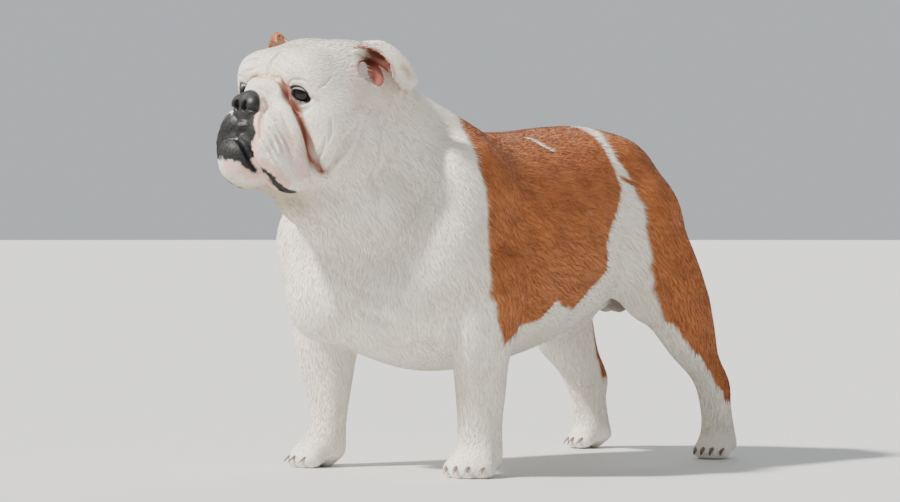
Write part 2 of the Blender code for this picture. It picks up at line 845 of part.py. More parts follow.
def thinned(obj, triangles):
    """Fewer triangles, the most where the skin bends the most."""
    count = sum(len(face.vertices) - 2 for face in obj.data.polygons)
    modifier = obj.modifiers.new("Thin", "DECIMATE")
    modifier.ratio = min(1.0, triangles / count)
    return applied(obj)


def carve(whole, name, keep, drop, triangles):
    """The part of the whole inside every cutter of keep and outside every cutter of drop.

    The piece is first cut out with some spare, then thinned, then cut to its true faces.
    """
    node = add_object(name, whole.data.copy())
    for cutter in keep:
        combined(node, cutter(SPARE), "INTERSECT", "MANIFOLD")
    for cutter in drop:
        combined(node, cutter(-SPARE), "DIFFERENCE", "MANIFOLD")
    largest_shell(node, MERGE)
    thinned(node, triangles)
    for cutter in keep:
        combined(node, cutter(0), "INTERSECT", "EXACT")
    for cutter in drop:
        combined(node, cutter(GAP / MM), "DIFFERENCE", "EXACT")
    return largest_shell(node)


def build_ear(side, sign):
    """A thin cup: its root in the skull, a crest that falls backward, and the free edge in front."""
    root = Vector((*EAR_ROOT, 0))
    swing = Matrix.Rotation(math.radians(-EAR_SWING[side]), 3, "Z")
    rows = []
    for row in EAR_ROWS:
        placed = [swing @ (Vector(p) - root) + root for p in row]
        rows.append([(sign * p.x, p.y, p.z + EAR_LIFT[side]) for p in placed])
    along = [smooth_path(row, EAR_COLUMNS) for row in rows]
    grid = [smooth_path(column_points, EAR_LINES) for column_points in zip(*along)]
    spots = np.array([[p[:] for p in line] for line in grid])
    slope_a, slope_b = np.gradient(spots, axis=0), np.gradient(spots, axis=1)
    normal = np.cross(slope_a, slope_b)
    normal /= np.linalg.norm(normal, axis=2, keepdims=True)
    edge = np.minimum(np.arange(EAR_COLUMNS), np.arange(EAR_COLUMNS)[::-1])[:, None]
    edge = np.minimum(edge, (EAR_LINES - 1 - np.arange(EAR_LINES))[None, :])
    thick = np.where(edge == 0, 0.5, 1.0)[..., None] * EAR_THICKNESS / 2
    clay = bmesh.new()
    faces = [
        [[clay.verts.new(mm(*p)) for p in line] for line in spots + way * normal * thick]
        for way in (1, -1)
    ]
    last_a, last_b = EAR_COLUMNS - 1, EAR_LINES - 1
    for layer in faces:
        for i in range(last_a):
            for j in range(last_b):
                corners = (layer[i][j], layer[i + 1][j], layer[i + 1][j + 1], layer[i][j + 1])
                clay.faces.new(corners)
    rim = [(i, 0) for i in range(last_a)] + [(last_a, j) for j in range(last_b)]
    rim += [(last_a - i, last_b) for i in range(last_a)] + [(0, last_b - j) for j in range(last_b)]
    top, bottom = faces
    for (i, j), (k, n) in zip(rim, rim[1:] + rim[:1]):
        clay.faces.new((top[i][j], top[k][n], bottom[k][n], bottom[i][j]))
    clay.transform(head_matrix())
    return solid(f"ear_{side}", clay, 0, visible=True)


def part_head(whole, beyond_neck):
    """The head's own nodes: head, lower jaw, nose, eyes and ears."""
    turn = head_matrix()
    nose = ball_cutter(NOSE_AT, NOSE_RADII, 0, turn)
    x, y, z = EYE_AT
    size = (EYE_RADIUS,) * 3
    eyes = {
        side: ball_cutter((sign * x, y, z), size, 0, turn, f"eye_{side}", True)
        for side, sign in SIDES.items()
    }
    head = carve(whole, "head", [beyond_neck], [jaw_cutter, nose, *eyes.values()], 3760)
    nodes = [head, carve(whole, "lower_jaw", [beyond_neck, jaw_cutter], [], 560)]
    nodes.append(carve(whole, "nose", [nose], [], 420))
    for side, sign in SIDES.items():
        ear = build_ear(side, sign)
        combined(ear, mesh_cutter(head)(GAP / MM), "DIFFERENCE", "EXACT")
        nodes += [eyes[side](0), largest_shell(ear)]
    return nodes


def part_body(whole, beyond_neck):
    """Neck, torso, tail, sheath, scrotum and the three parts of each leg."""
    shoulders = half_space(NECK_ROOT, NECK_ROOT_PLANE)
    tail = ball_cutter(*TAIL_CUT)
    sheath = ball_cutter(*SHEATH_CUT)
    scrotum = ball_cutter(*SCROTUM_CUT)
    fore = {
        side: leg_cutter(sign, FORELEG_CUT, RIGHT_FORELEG_SHIFT) for side, sign in SIDES.items()
    }
    hind = {
        side: leg_cutter(sign, HINDLEG_CUT, RIGHT_HINDLEG_SHIFT) for side, sign in SIDES.items()
    }
    legs = [*fore.values(), *hind.values()]
    around = [shoulders, tail, sheath, scrotum, *legs]
    nodes = [
        carve(whole, "neck", [shoulders], [beyond_neck], 600),
        carve(whole, "torso", [], around, 1400),
        carve(whole, "tail", [tail], [], 110),
        carve(whole, "sheath", [sheath], [scrotum], 110),
        carve(whole, "scrotum", [scrotum], legs, 130),
    ]
    floor = half_space((0, 0, FLOOR_CUT), (0, 0, -1))
    claws = {}
    for name, side, x, y, width, reach, radius in paws():
        claws[name] = [
            claw_cutter(side, tip, radius, f"claw_{name}_{k + 1}")
            for k, tip in enumerate(toe_tips(side, x, y, width, reach))
        ]
    for group, cutters, elbow, wrist in (("fore", fore, ELBOW, WRIST), ("hind", hind, KNEE, HOCK)):
        for side, cutter in cutters.items():
            above = half_space((0, 0, elbow), (0, 0, 1))
            middle = half_space((0, 0, wrist), (0, 0, 1))
            own = claws[f"{group}_{side}"]
            leg = f"{group}leg"
            nodes.append(carve(whole, f"{leg}_upper_{side}", [cutter, above], [shoulders], 250))
            nodes.append(carve(whole, f"{leg}_lower_{side}", [cutter, middle], [above], 150))
            paw = carve(whole, f"{group}paw_{side}", [cutter], [middle, floor], 260)
            for claw in own:
                combined(paw, claw(GAP / MM), "DIFFERENCE", "EXACT")
                nodes.append(claw(0, visible=True))
            nodes.append(largest_shell(paw))
    return nodes


# Materials: colour, roughness
MATERIALS = {
    "coat_white": ((0.82, 0.76, 0.68), 0.8),
    "coat_brown": ((0.31, 0.11, 0.035), 0.75),
    "nose_leather": ((0.012, 0.011, 0.012), 0.4),
    "eye": ((0.015, 0.007, 0.004), 0.1),
    "claw": ((0.22, 0.15, 0.11), 0.5),
    "bare_skin": ((0.24, 0.18, 0.16), 0.65),
}
MATERIAL_OF = {
    "torso": "coat_brown",
    "tail": "coat_brown",
    "nose": "nose_leather",
    "eye": "eye",
    "claw": "claw",
    "sheath": "coat_white",
    "scrotum": "bare_skin",
}


def build_materials():
    made = {}
    for name, (colour, roughness) in MATERIALS.items():
        material = bpy.data.materials.new(name)
        material.use_nodes = True
        shader = material.node_tree.nodes["Principled BSDF"]
        shader.inputs["Base Color"].default_value = (*colour, 1)
        shader.inputs["Roughness"].default_value = roughness
        made[name] = material
    return made


def stand_on_floor(nodes):
    """Moves all nodes so that the box round them has its bottom middle at the origin."""
    points = np.concatenate([points_of(node.data) for node in nodes])
    low, high = points.min(0), points.max(0)
    shift = Vector((-(low[0] + high[0]) / 2, -(low[1] + high[1]) / 2, -low[2]))
    for node in nodes:
        node.data.transform(Matrix.Translation(shift))


def main():
    clear_scene()
    whole = build_whole()
    beyond_neck = half_space(HEAD_PIVOT, NECK_PLANE)
    nodes = part_head(whole, beyond_neck) + part_body(whole, beyond_neck)
    bpy.data.objects.remove(whole)
    materials = build_materials()
    for node in nodes:
        kind = MATERIAL_OF.get(node.name.split("_")[0], "coat_white")
        node.data.materials.clear()
        node.data.materials.append(materials[kind])
    stand_on_floor(nodes)


main()
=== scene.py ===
"""English bulldog: the looks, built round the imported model.

One skin is made from the same masses as the solids, finer, and takes the place of all the flesh.
Eyes and claws are pieces of their own, and a coat of small tufts lies over the skin. The dog faces
-Y with its left side at +X. Until it is placed, the skin is in the model's own frame, in
thousandths of a dog 390 mm high at the withers.
"""

import math

import bmesh
import bpy
import numpy as np
from mathutils import Matrix, Vector
from mathutils.bvhtree import BVHTree

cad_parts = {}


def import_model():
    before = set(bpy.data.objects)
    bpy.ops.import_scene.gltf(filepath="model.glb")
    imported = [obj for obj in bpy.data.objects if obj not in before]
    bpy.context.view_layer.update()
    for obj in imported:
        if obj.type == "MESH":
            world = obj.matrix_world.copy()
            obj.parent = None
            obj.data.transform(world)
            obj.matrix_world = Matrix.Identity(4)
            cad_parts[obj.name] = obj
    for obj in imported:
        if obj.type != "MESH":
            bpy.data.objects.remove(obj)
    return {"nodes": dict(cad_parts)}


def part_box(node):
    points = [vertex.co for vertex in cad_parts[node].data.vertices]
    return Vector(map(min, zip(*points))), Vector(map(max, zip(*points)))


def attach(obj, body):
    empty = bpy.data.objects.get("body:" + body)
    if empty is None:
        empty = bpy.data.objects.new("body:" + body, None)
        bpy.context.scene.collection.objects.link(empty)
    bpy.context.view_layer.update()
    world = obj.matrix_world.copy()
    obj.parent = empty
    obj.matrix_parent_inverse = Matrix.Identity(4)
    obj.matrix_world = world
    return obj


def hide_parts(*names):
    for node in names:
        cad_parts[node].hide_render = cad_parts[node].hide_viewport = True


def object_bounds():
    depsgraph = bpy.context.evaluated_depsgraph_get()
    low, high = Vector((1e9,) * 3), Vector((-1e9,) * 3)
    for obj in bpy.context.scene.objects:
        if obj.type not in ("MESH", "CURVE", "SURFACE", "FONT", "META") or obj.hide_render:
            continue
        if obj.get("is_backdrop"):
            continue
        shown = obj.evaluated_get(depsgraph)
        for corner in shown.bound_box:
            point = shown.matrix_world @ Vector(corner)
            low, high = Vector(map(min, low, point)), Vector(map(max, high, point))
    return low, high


# Driving dimensions. Every other size is in thousandths of a dog 390 mm high at the withers.
WITHERS_HEIGHT = 0.390
MM = WITHERS_HEIGHT / 390

# Head: the pivot is where the skull meets the neck. Head sizes are measured from it.
HEAD_PIVOT = (0, -250, 385)
HEAD_YAW, HEAD_PITCH, HEAD_ROLL = -6.0, 0.0, 4.0
EYE_AT = (45, -95, 27)
EYE_RADIUS = 12.5
LID_RADIUS = 15.0
EYE_OPENING = ((53, -107, 25), (13, 10, 5.4), 0, 34, 14)
EAR_HOLLOW = ((83, -33, 60), (12, 15, 19))

# Where the head meets the neck: the direction across the cut, and how wide the skin is smoothed
NECK_PLANE = (0, -0.82, 0.57)
NECK_BLEND = 20

SIDES = {"left": 1, "right": -1}

# The left ear: rows of points from the root in the skull, over the crest, to the free edge
EAR_ROWS = [
    [(56, -46, 70), (62, -26, 68), (70, -4, 56), (74, 6, 40), (76, 2, 26)],
    [(74, -44, 84), (84, -28, 85), (94, -15, 77), (103, -1, 60), (107, 8, 43)],
    [(72, -58, 76), (85, -42, 76), (97, -28, 64), (103, -24, 47), (109, -11, 29)],
]
# How far each ear is swung forward about its root, in degrees, and lifted
EAR_ROOT = (70, -50)
EAR_SWING = {"left": 0, "right": 30}
EAR_LIFT = {"left": 0, "right": 4}


def mm(*values):
    """A point or a set of radii, from model millimetres to metres."""
    return Vector(values) * MM


def add_object(name, mesh):
    obj = bpy.data.objects.new(name, mesh)
    bpy.context.scene.collection.objects.link(obj)
    return obj


def mesh_of(name, clay):
    mesh = bpy.data.meshes.new(name)
    clay.to_mesh(mesh)
    clay.free()
    return mesh


# Masses
def ball(clay, centre, radii, tilt=0.0, turn=0.0):
    """An ellipsoid. Tilt turns it about X and turn about Z, in degrees."""
    place = (
        Matrix.Translation(mm(*centre))
        @ Matrix.Rotation(math.radians(turn), 4, "Z")
        @ Matrix.Rotation(math.radians(tilt), 4, "X")
        @ Matrix.Diagonal((*mm(*radii), 1))
    )
    bmesh.ops.create_icosphere(clay, subdivisions=4, radius=1, matrix=place)


def pair(clay, centre, radii, tilt=0.0, turn=0.0):
    """An ellipsoid on the left side, and its mirror image on the right."""
    x, y, z = centre
    ball(clay, (x, y, z), radii, tilt, turn)
    ball(clay, (-x, y, z), radii, tilt, -turn)


def ring(centre, side, up, half_width, half_top, half_bottom, power=2.2, count=28):
    """Points round a rounded section, whose upper and lower halves may differ in height."""
    points = []
    for k in range(count):
        angle = 2 * math.pi * k / count
        c, s = math.cos(angle), math.sin(angle)
        across = math.copysign(abs(c) ** (2 / power), c) * half_width
        height = math.copysign(abs(s) ** (2 / power), s) * (half_top if s > 0 else half_bottom)
        points.append(Vector(centre) + Vector(side) * across + Vector(up) * height)
    return points


def loft(clay, rings):
    """A closed body through the rings, with a flat cap at each end."""
    loops = [[clay.verts.new(p * MM) for p in points] for points in rings]
    for a, b in zip(loops, loops[1:]):
        for k in range(len(a)):
            clay.faces.new((a[k], a[k - 1], b[k - 1], b[k]))
    clay.faces.new(loops[0])
    clay.faces.new(reversed(loops[-1]))


def barrel(clay, stations):
    """A trunk along Y. A station is (y, top, bottom, half width, height of the widest point)."""
    rings = [
        ring((0, y, mid), (1, 0, 0), (0, 0, 1), wide, top - mid, mid - bottom)
        for y, top, bottom, wide, mid in stations
    ]
    loft(clay, rings)


def column(clay, side, stations, sides=24):
    """A leg, in level sections. A station is (z, x, y, half width, half depth)."""
    rings = []
    for z, x, y, wide, deep in stations:
        low = min(max((TURN_START - z) / TURN_FADE, 0), 1)
        ahead, across = heading(side, low * TOES_OUT)
        rings.append(ring((side * x, y, z), side * across, -side * ahead, wide, deep, deep, 2, sides))
    loft(clay, rings)


def heading(side, degrees):
    """The way a foot points when it is turned outward by degrees, and the way across it."""
    angle = side * math.radians(degrees)
    ahead = Vector((math.sin(angle), -math.cos(angle), 0))
    return ahead, Vector((-ahead.y, ahead.x, 0))


# Fusing and smoothing
def fuse(name, clay, voxel, rounds):
    """Joins the overlapping masses into one even skin of quads, and smooths it."""
    bmesh.ops.recalc_face_normals(clay, faces=clay.faces)
    return relax(remeshed(add_object(name, mesh_of(name, clay)), voxel), rounds)


def remeshed(obj, voxel):
    modifier = obj.modifiers.new("Remesh", "REMESH")
    modifier.mode = "VOXEL"
    modifier.voxel_size = voxel * MM
    return applied(obj)


def applied(obj):
    """Replaces the object's mesh by what its modifiers make of it."""
    graph = bpy.context.evaluated_depsgraph_get()
    mesh = bpy.data.meshes.new_from_object(obj.evaluated_get(graph))
    obj.modifiers.clear()
    obj.data = mesh
    return obj


def points_of(mesh, key="co"):
    points = np.empty(len(mesh.vertices) * 3, np.float32)
    mesh.vertices.foreach_get(key, points)
    return points.reshape(-1, 3).astype(float)


def set_points(mesh, points):
    mesh.vertices.foreach_set("co", points.astype(np.float32).ravel())
    mesh.update()


def relax(obj, rounds, share=None):
    """Smooths the mesh. share, from 0 to 1 for each vertex, says how much of it moves."""
    mesh = obj.data
    points = points_of(mesh)
    ends = np.empty(len(mesh.edges) * 2, np.int32)
    mesh.edges.foreach_get("vertices", ends)
    a, b = ends.reshape(-1, 2).T
    count = len(points)
    degree = np.maximum(np.bincount(ends, minlength=count), 1)
    step = 0.5 if share is None else 0.5 * share[:, None]
    for _ in range(rounds):
        total = np.stack(
            [
                np.bincount(a, points[b, k], count) + np.bincount(b, points[a, k], count)
                for k in range(3)
            ],
            axis=1,
        )
        points += step * (total / degree[:, None] - points)
    set_points(mesh, points)
    return obj


def join_bodies(name, objects):
    """One object that holds the meshes of all of them, for the next remesh."""
    joined = bmesh.new()
    for obj in objects:
        mesh = obj.data.copy()
        mesh.transform(obj.matrix_world)
        joined.from_mesh(mesh)
        bpy.data.objects.remove(obj)
    return add_object(name, mesh_of(name, joined))


def smooth_path(path, count):
    """count points on a Catmull-Rom curve through the path's own points."""
    knots = [Vector(p) for p in path]
    knots = [2 * knots[0] - knots[1], *knots, 2 * knots[-1] - knots[-2]]
    spans = len(knots) - 3
    points = []
    for k in range(count):
        place = spans * k / (count - 1)
        i = min(int(place), spans - 1)
        t = place - i
        a, b, c, d = knots[i : i + 4]
        points.append(
            0.5 * (2 * b + (c - a) * t + (2 * a - 5 * b + 4 * c - d) * t**2
                   + (3 * b - a - 3 * c + d) * t**3)
        )
    return points


def curve(path, count):
    return np.array([p[:] for p in smooth_path(path, count)])


def rope(clay, path, radii, count=14):
    """A roll of skin along a curve. radii are its half thickness at even steps along it."""
    for k, centre in enumerate(smooth_path(path, count)):
        radius = float(np.interp(k / (count - 1), np.linspace(0, 1, len(radii)), radii))
        place = Matrix.Translation(centre * MM) @ Matrix.Scale(radius * MM, 4)
        bmesh.ops.create_icosphere(clay, subdivisions=2, radius=1, matrix=place)


def mirrored(path):
    return [(-x, y, z) for x, y, z in path]


def strokes(obj, folds):
    """Raises folds along paths on the skin, or sinks creases where the height is negative.

    A fold is (path, half width, height). Its points are drawn onto the nearest skin, and it fades
    out at both ends.
    """
    mesh = obj.data
    skin = BVHTree.FromObject(obj, bpy.context.evaluated_depsgraph_get())
    points = points_of(mesh)
    normals = normals_of(mesh)
    for path, width, height in folds:
        line = [skin.find_nearest(p * MM)[0] for p in smooth_path(path, 24)]
        line = np.array([p[:] for p in line])
        near, gap, share = beside(points, line, 2.6 * width * MM)
        fade = np.sin(np.pi * np.clip(share, 0, 1)) ** 0.6
        lift = height * MM * fade * np.exp(-((gap / (width * MM)) ** 2))
        points[near] += normals[near] * lift[:, None]
    set_points(mesh, points)


def beside(points, line, reach):
    """The points within reach of a line: their numbers, distances, and how far along it they are."""
    near = np.flatnonzero(((points > line.min(0) - reach) & (points < line.max(0) + reach)).all(1))
    starts, steps = line[:-1], np.diff(line, axis=0)
    best = np.full(len(near), 1e9)
    place = np.zeros(len(near))
    for k, (start, step) in enumerate(zip(starts, steps)):
        offset = points[near] - start
        along = np.clip(offset @ step / max(step @ step, 1e-12), 0, 1)
        gap = np.linalg.norm(offset - along[:, None] * step, axis=1)
        closer = gap < best
        best[closer] = gap[closer]
        place[closer] = (k + along[closer]) / len(steps)
    keep = best < reach
    return near[keep], best[keep], place[keep]


def normals_of(mesh):
    return points_of(mesh, "normal")


def both(folds):
    """The folds, and their mirror images on the other side."""
    return folds + [(mirrored(path), width, height) for path, width, height in folds]


# Trunk, neck and the big muscles
TRUNK = [
    (-266, 285, 205, 62, 245),
    (-248, 335, 165, 103, 245),
    (-205, 366, 126, 136, 240),
    (-150, 380, 110, 146, 235),
    (-90, 376, 113, 144, 240),
    (-20, 378, 129, 138, 250),
    (50, 386, 156, 126, 265),
    (96, 388, 186, 112, 285),
    (130, 378, 206, 100, 290),
    (158, 352, 222, 84, 285),
    (180, 308, 244, 56, 275),
]
NECK = [
    ((0, -112, 312), 116, 66, 100),
    ((0, -160, 330), 112, 72, 108),
    ((0, -205, 350), 98, 74, 104),
    ((0, -250, 378), 84, 72, 92),
]
NECK_UP = (0, 0.22, 0.95)
TAIL = [(0, 150, 340), (0, 176, 326), (0, 190, 302), (0, 192, 274)]


# Masses on both sides of the trunk: centre, radii, tilt. First the dewlap and the throat
FRONT_MASSES = [
    ((20, -308, 308), (24, 36, 44), 24),
    ((34, -262, 296), (50, 34, 50), 0),
    # Shoulder blade, point of the shoulder, upper arm and breast muscle
    ((98, -172, 290), (52, 66, 84), 18),
    ((106, -203, 250), (50, 52, 66), 0),
    ((116, -174, 205), (43, 54, 62), 0),
    ((58, -232, 198), (60, 42, 60), 0),
]
# Croup, thigh and buttock
REAR_MASSES = [
    ((54, 98, 330), (50, 62, 46), -24),
    ((84, 108, 266), (46, 66, 76), 6),
    ((86, 134, 222), (42, 58, 70), 18),
]
# Sheath and scrotum: first as they leave the belly, then at their full size
SHEATH_ROOT = [(0, 140, 200), (0, 112, 172), (0, 78, 148)]
SCROTUM_ROOT = ((11, 157, 188), (15, 20, 20))
SHEATH = [(0, 136, 196), (0, 106, 168), (0, 78, 151), (0, 70, 147)]
SCROTUM = ((11, 157, 187), (14, 19, 20), 10)
# Voxel size in thousandths, and rounds of smoothing
TRUNK_FUSE, LEG_FUSE, UNDER_FUSE = (6, 12), (3, 4), (3, 3)


def build_trunk():
    clay = bmesh.new()
    barrel(clay, TRUNK)
    loft(clay, [ring(c, (1, 0, 0), NECK_UP, w, t, b) for c, w, t, b in NECK])
    for mass in FRONT_MASSES:
        pair(clay, *mass)
    rope(clay, SHEATH_ROOT, (16, 15, 10))
    pair(clay, *SCROTUM_ROOT)
    rope(clay, TAIL, (19, 15, 11, 8))
    for mass in REAR_MASSES:
        pair(clay, *mass)
    return fuse("Trunk", clay, *TRUNK_FUSE)


def build_under():
    """Sheath and scrotum, at their full size."""
    clay = bmesh.new()
    rope(clay, SHEATH, (13, 15, 12.5, 9))
    pair(clay, *SCROTUM)
    return fuse("Under", clay, *UNDER_FUSE)


# The feet are turned outward, in degrees. The turn starts at this height and is full this far down.
TOES_OUT = 20
TURN_START, TURN_FADE = 190, 70
# Legs, in level sections: height, x, y, half width, half depth
FORELEG = [
    (240, 118, -172, 42, 52),
    (200, 122, -170, 42, 50),
    (160, 121, -172, 35, 43),
    (125, 117, -172, 29, 36),
    (90, 113, -168, 28, 26),
    (64, 111, -167, 26, 21),
    (42, 111, -167, 26, 21),
    (14, 111, -168, 27, 25),
]
HINDLEG = [
    (270, 84, 112, 44, 60),
    (230, 92, 128, 44, 60),
    (190, 99, 146, 41, 54),
    (155, 104, 164, 34, 45),
    (122, 108, 180, 25, 39),
    (98, 110, 203, 20, 33),
    (84, 111, 210, 18.5, 31),
    (70, 111, 211, 18, 24),
    (52, 112, 214, 18, 22.5),
    (32, 112, 216, 20, 22),
    (14, 112, 219, 23, 24),
]
# How far the right feet stand from where the left ones are, mirrored: outward, along Y, and the
# height up the leg where this starts
RIGHT_FORELEG_SHIFT = (0, -26, 240)
RIGHT_HINDLEG_SHIFT = (-10, 18, 270)
# The pad of a paw: how far behind the paw's middle, and how high its own middle is
PAD_BACK, PAD_HEIGHT = 5, 11


def toe_tips(side, x, y, width, reach):
    """The middles of the four toe tips, fanned out ahead of the paw's middle (x, y)."""
    ahead, across = heading(side, TOES_OUT)
    for k in range(4):
        place = (k - 1.5) / 1.5
        tip = across * place * width + ahead * reach * (1 - 0.3 * place * place)
        yield x + tip.x, y + tip.y


def toes(clay, side, x, y, width, reach, radius):
    """The paw's toes and the pad behind them."""
    turn = side * TOES_OUT
    ball(clay, (x, y + PAD_BACK, PAD_HEIGHT), (0.85 * width, 1.15 * radius, PAD_HEIGHT), 0, turn)
    for tip_x, tip_y in toe_tips(side, x, y, width, reach):
        knuckle = (x + 0.7 * (tip_x - x), y + 0.55 * (tip_y - y), 23)
        ball(clay, knuckle, (radius, radius * 1.4, radius * 1.1), 20, turn)
        ball(clay, (tip_x, tip_y, 12), (radius * 0.98, radius * 1.15, radius * 1.04), 10, turn)


def paws():
    """Each paw as (name, side, middle x, middle y, width, reach and radius of its toes)."""
    for side, sign in SIDES.items():
        _, x, y, _, _ = stance(sign, FORELEG, RIGHT_FORELEG_SHIFT)[-1]
        yield f"fore_{side}", sign, sign * x, y - 4, 21, 27, 12
        _, x, y, _, _ = stance(sign, HINDLEG, RIGHT_HINDLEG_SHIFT)[-1]
        yield f"hind_{side}", sign, sign * x, y - 6, 16, 22, 10


def stance(side, stations, shift):
    """The stations of a leg. On the right side the foot is moved by shift, the top stays."""
    outward, along, top = shift
    placed = []
    for z, x, y, wide, deep in stations:
        share = max(0, 1 - z / top) if side < 0 else 0
        placed.append((z, x + outward * share, y + along * share, wide, deep))
    return placed


def build_legs():
    clay = bmesh.new()
    for side in SIDES.values():
        column(clay, side, stance(side, FORELEG, RIGHT_FORELEG_SHIFT))
        column(clay, side, stance(side, HINDLEG, RIGHT_HINDLEG_SHIFT))
    for _, *paw in paws():
        toes(clay, *paw)
    return fuse("Legs", clay, *LEG_FUSE)


# Soft forms. A form is a function from points to their distance from its skin, inside below zero.
NEAR = 30  # a form is worked out this far round itself, and counts as out of reach beyond


def blob(centre, radii, tilt=0.0, turn=0.0, roll=0.0):
    """An ellipsoid. Roll turns it about Y, then tilt about X and turn about Z, in degrees."""
    axes = Matrix.Rotation(math.radians(turn), 3, "Z") @ Matrix.Rotation(math.radians(tilt), 3, "X")
    axes = np.array(axes @ Matrix.Rotation(math.radians(roll), 3, "Y"))
    radii = np.array(radii, float)

    def distance(points):
        place = (points - centre) @ axes
        level = np.linalg.norm(place / radii, axis=1)
        slope = np.maximum(np.linalg.norm(place / radii**2, axis=1), 1e-9)
        return level * (level - 1) / slope

    return within(distance, np.array(centre) - radii.max(), np.array(centre) + radii.max())


def tube(path, radii):
    """A round rope along a curve. radii are its half thickness at even steps along it."""
    line = curve(path, 5 * len(path))
    size = np.interp(np.linspace(0, 1, len(line)), np.linspace(0, 1, len(radii)), radii)
    starts, steps = line[:-1], np.diff(line, axis=0)
    lengths = (steps**2).sum(1)

    def distance(points):
        best = np.full(len(points), 1e3)
        for start, step, length, a, b in zip(starts, steps, lengths, size, size[1:]):
            offset = points - start
            along = np.clip(offset @ step / length, 0, 1)
            gap = np.linalg.norm(offset - along[:, None] * step, axis=1)
            best = np.minimum(best, gap - a - along * (b - a))
        return best

    return within(distance, line.min(0) - size.max(), line.max(0) + size.max())


def within(distance, low, high):
    """The same form, worked out only near the box from low to high."""

    def local(points):
        near = ((points > low - NEAR) & (points < high + NEAR)).all(axis=1)
        result = np.full(len(points), 1e3)
        result[near] = distance(points[near])
        return result

    return local


def flipped(form):
    return lambda points: form(points * (-1, 1, 1))


def blended(forms):
    """The forms put on or cut away one after the other. Each is (way, blend, form).

    Way 1 adds a form and way -1 cuts it away. Blend is the width of the soft edge between them.
    """

    def distance(points):
        total = np.full(len(points), 1e3)
        for way, blend, form in forms:
            other = form(points)
            soft = np.maximum(blend - np.abs(way * total - other), 0) ** 2 / (4 * blend)
            total = way * (np.minimum(way * total, other) - soft)
        return total

    return distance


def both_sides(way, blend, form):
    return [(way, blend, form), (way, blend, flipped(form))]


def band(distance, axes, step, coarse=4):
    """The distance on a grid: exact near the skin, and rough away from it."""
    rough_axes = [axis[:: coarse] for axis in axes]
    rough = np.stack(np.meshgrid(*rough_axes, indexing="ij"), axis=-1)
    rough = distance(rough.reshape(-1, 3)).reshape(rough.shape[:3])
    picks = [
        np.minimum((np.arange(len(axis)) + coarse // 2) // coarse, len(few) - 1)
        for axis, few in zip(axes, rough_axes)
    ]
    value = rough[np.ix_(*picks)]
    near = np.argwhere(np.abs(value) < 1.8 * coarse * step)
    spots = np.stack([axis[near[:, k]] for k, axis in enumerate(axes)], axis=1)
    value[tuple(near.T)] = distance(spots)
    return value


# The four grid cells that share an edge, as steps along the two other axes
CELLS_AROUND = ((0, 0), (-1, 0), (-1, -1), (0, -1))


def crossings(value):
    """The grid edges where the value changes sign, axis by axis.

    Gives the axis, the places of the crossings, the four cells round each, and which lead out.
    """
    for axis in range(3):
        first = tuple(slice(0, -1) if k == axis else slice(None) for k in range(3))
        second = tuple(slice(1, None) if k == axis else slice(None) for k in range(3))
        edges = np.argwhere((value[first] < 0) != (value[second] < 0))
        a, b = value[first][tuple(edges.T)], value[second][tuple(edges.T)]
        place = edges.astype(float)
        place[:, axis] += a / (a - b)
        cells = []
        for steps in CELLS_AROUND:
            cell = edges.copy()
            cell[:, [k for k in range(3) if k != axis]] += steps
            cells.append(tuple(cell.T))
        yield axis, place, cells, a < 0


def skin_of(name, distance, low, high, step):
    """The mesh where distance is zero, in even quads: one point for each grid cell it crosses."""
    value = band(distance, [np.arange(a, b + step, step) for a, b in zip(low, high)], step)
    total = np.zeros((*value.shape, 3))
    count = np.zeros(value.shape)
    found = list(crossings(value))
    for _, place, cells, _ in found:
        for cell in cells:
            np.add.at(total, cell, place)
            np.add.at(count, cell, 1)
    used = tuple(np.argwhere(count > 0).T)
    index = np.full(value.shape, -1)
    index[used] = np.arange(len(used[0]))
    spots = total[used] / count[used][:, None]
    faces = []
    for axis, _, cells, outward in found:
        quads = np.stack([index[cell] for cell in cells], axis=1)
        turned = outward if axis != 1 else ~outward
        quads[~turned] = quads[~turned][:, ::-1]
        faces.append(quads)
    mesh = bpy.data.meshes.new(name)
    mesh.from_pydata((spots * step + low) * MM, [], np.concatenate(faces).tolist())
    return add_object(name, mesh)


# The head faces -Y, level and straight, with its pivot at the origin, until head_matrix turns it.
# Masses of the skull, then of the face: both sides or the middle, blend, centre, radii.
SKULL = [
    (1, 20, (26, -38, 36), (50, 64, 50)),
    (1, 14, (40, -88, 44), (34, 27, 27)),
    (0, 16, (0, -84, 46), (22, 28, 27)),
    (1, 20, (62, -56, 18), (30, 44, 36)),
    (1, 22, (57, -47, -20), (40, 53, 50)),
    (1, 12, (54, -70, 2), (26, 33, 24)),
    (0, 20, (0, -4, 8), (84, 58, 72)),
    (0, 16, (0, -86, -8), (54, 44, 46)),
    (0, 18, (0, -66, -50), (58, 62, 38)),
]
FACE = [
    (0, 8, (0, -104, 12), (30, 28, 24)),
    (1, 9, (33, -108, -32), (26, 40, 41)),
    (1, 9, (43, -106, -52), (18, 29, 25)),
    (1, 10, (22, -114, -12), (26, 33, 25)),
    (0, 6, (0, -118, -10), (16, 31, 12)),
    (0, 3.5, (0, -131, 11), (23, 15, 18)),
    (0, 2.5, (0, -130, -47), (35, 34, 27)),
    (0, 8, (0, -140, -36), (26, 24, 18)),
]
# The roll of skin over the nose and down to the corner of the mouth: path, half thickness
ROLL = [
    (0, -119, 32), (12, -117, 33), (24, -112, 27), (38, -112, 8),
    (51, -110, -14), (57, -108, -36), (60, -102, -58),
]
ROLL_SIZE = (9, 9.5, 10, 10.5, 10.5, 9.5, 7)
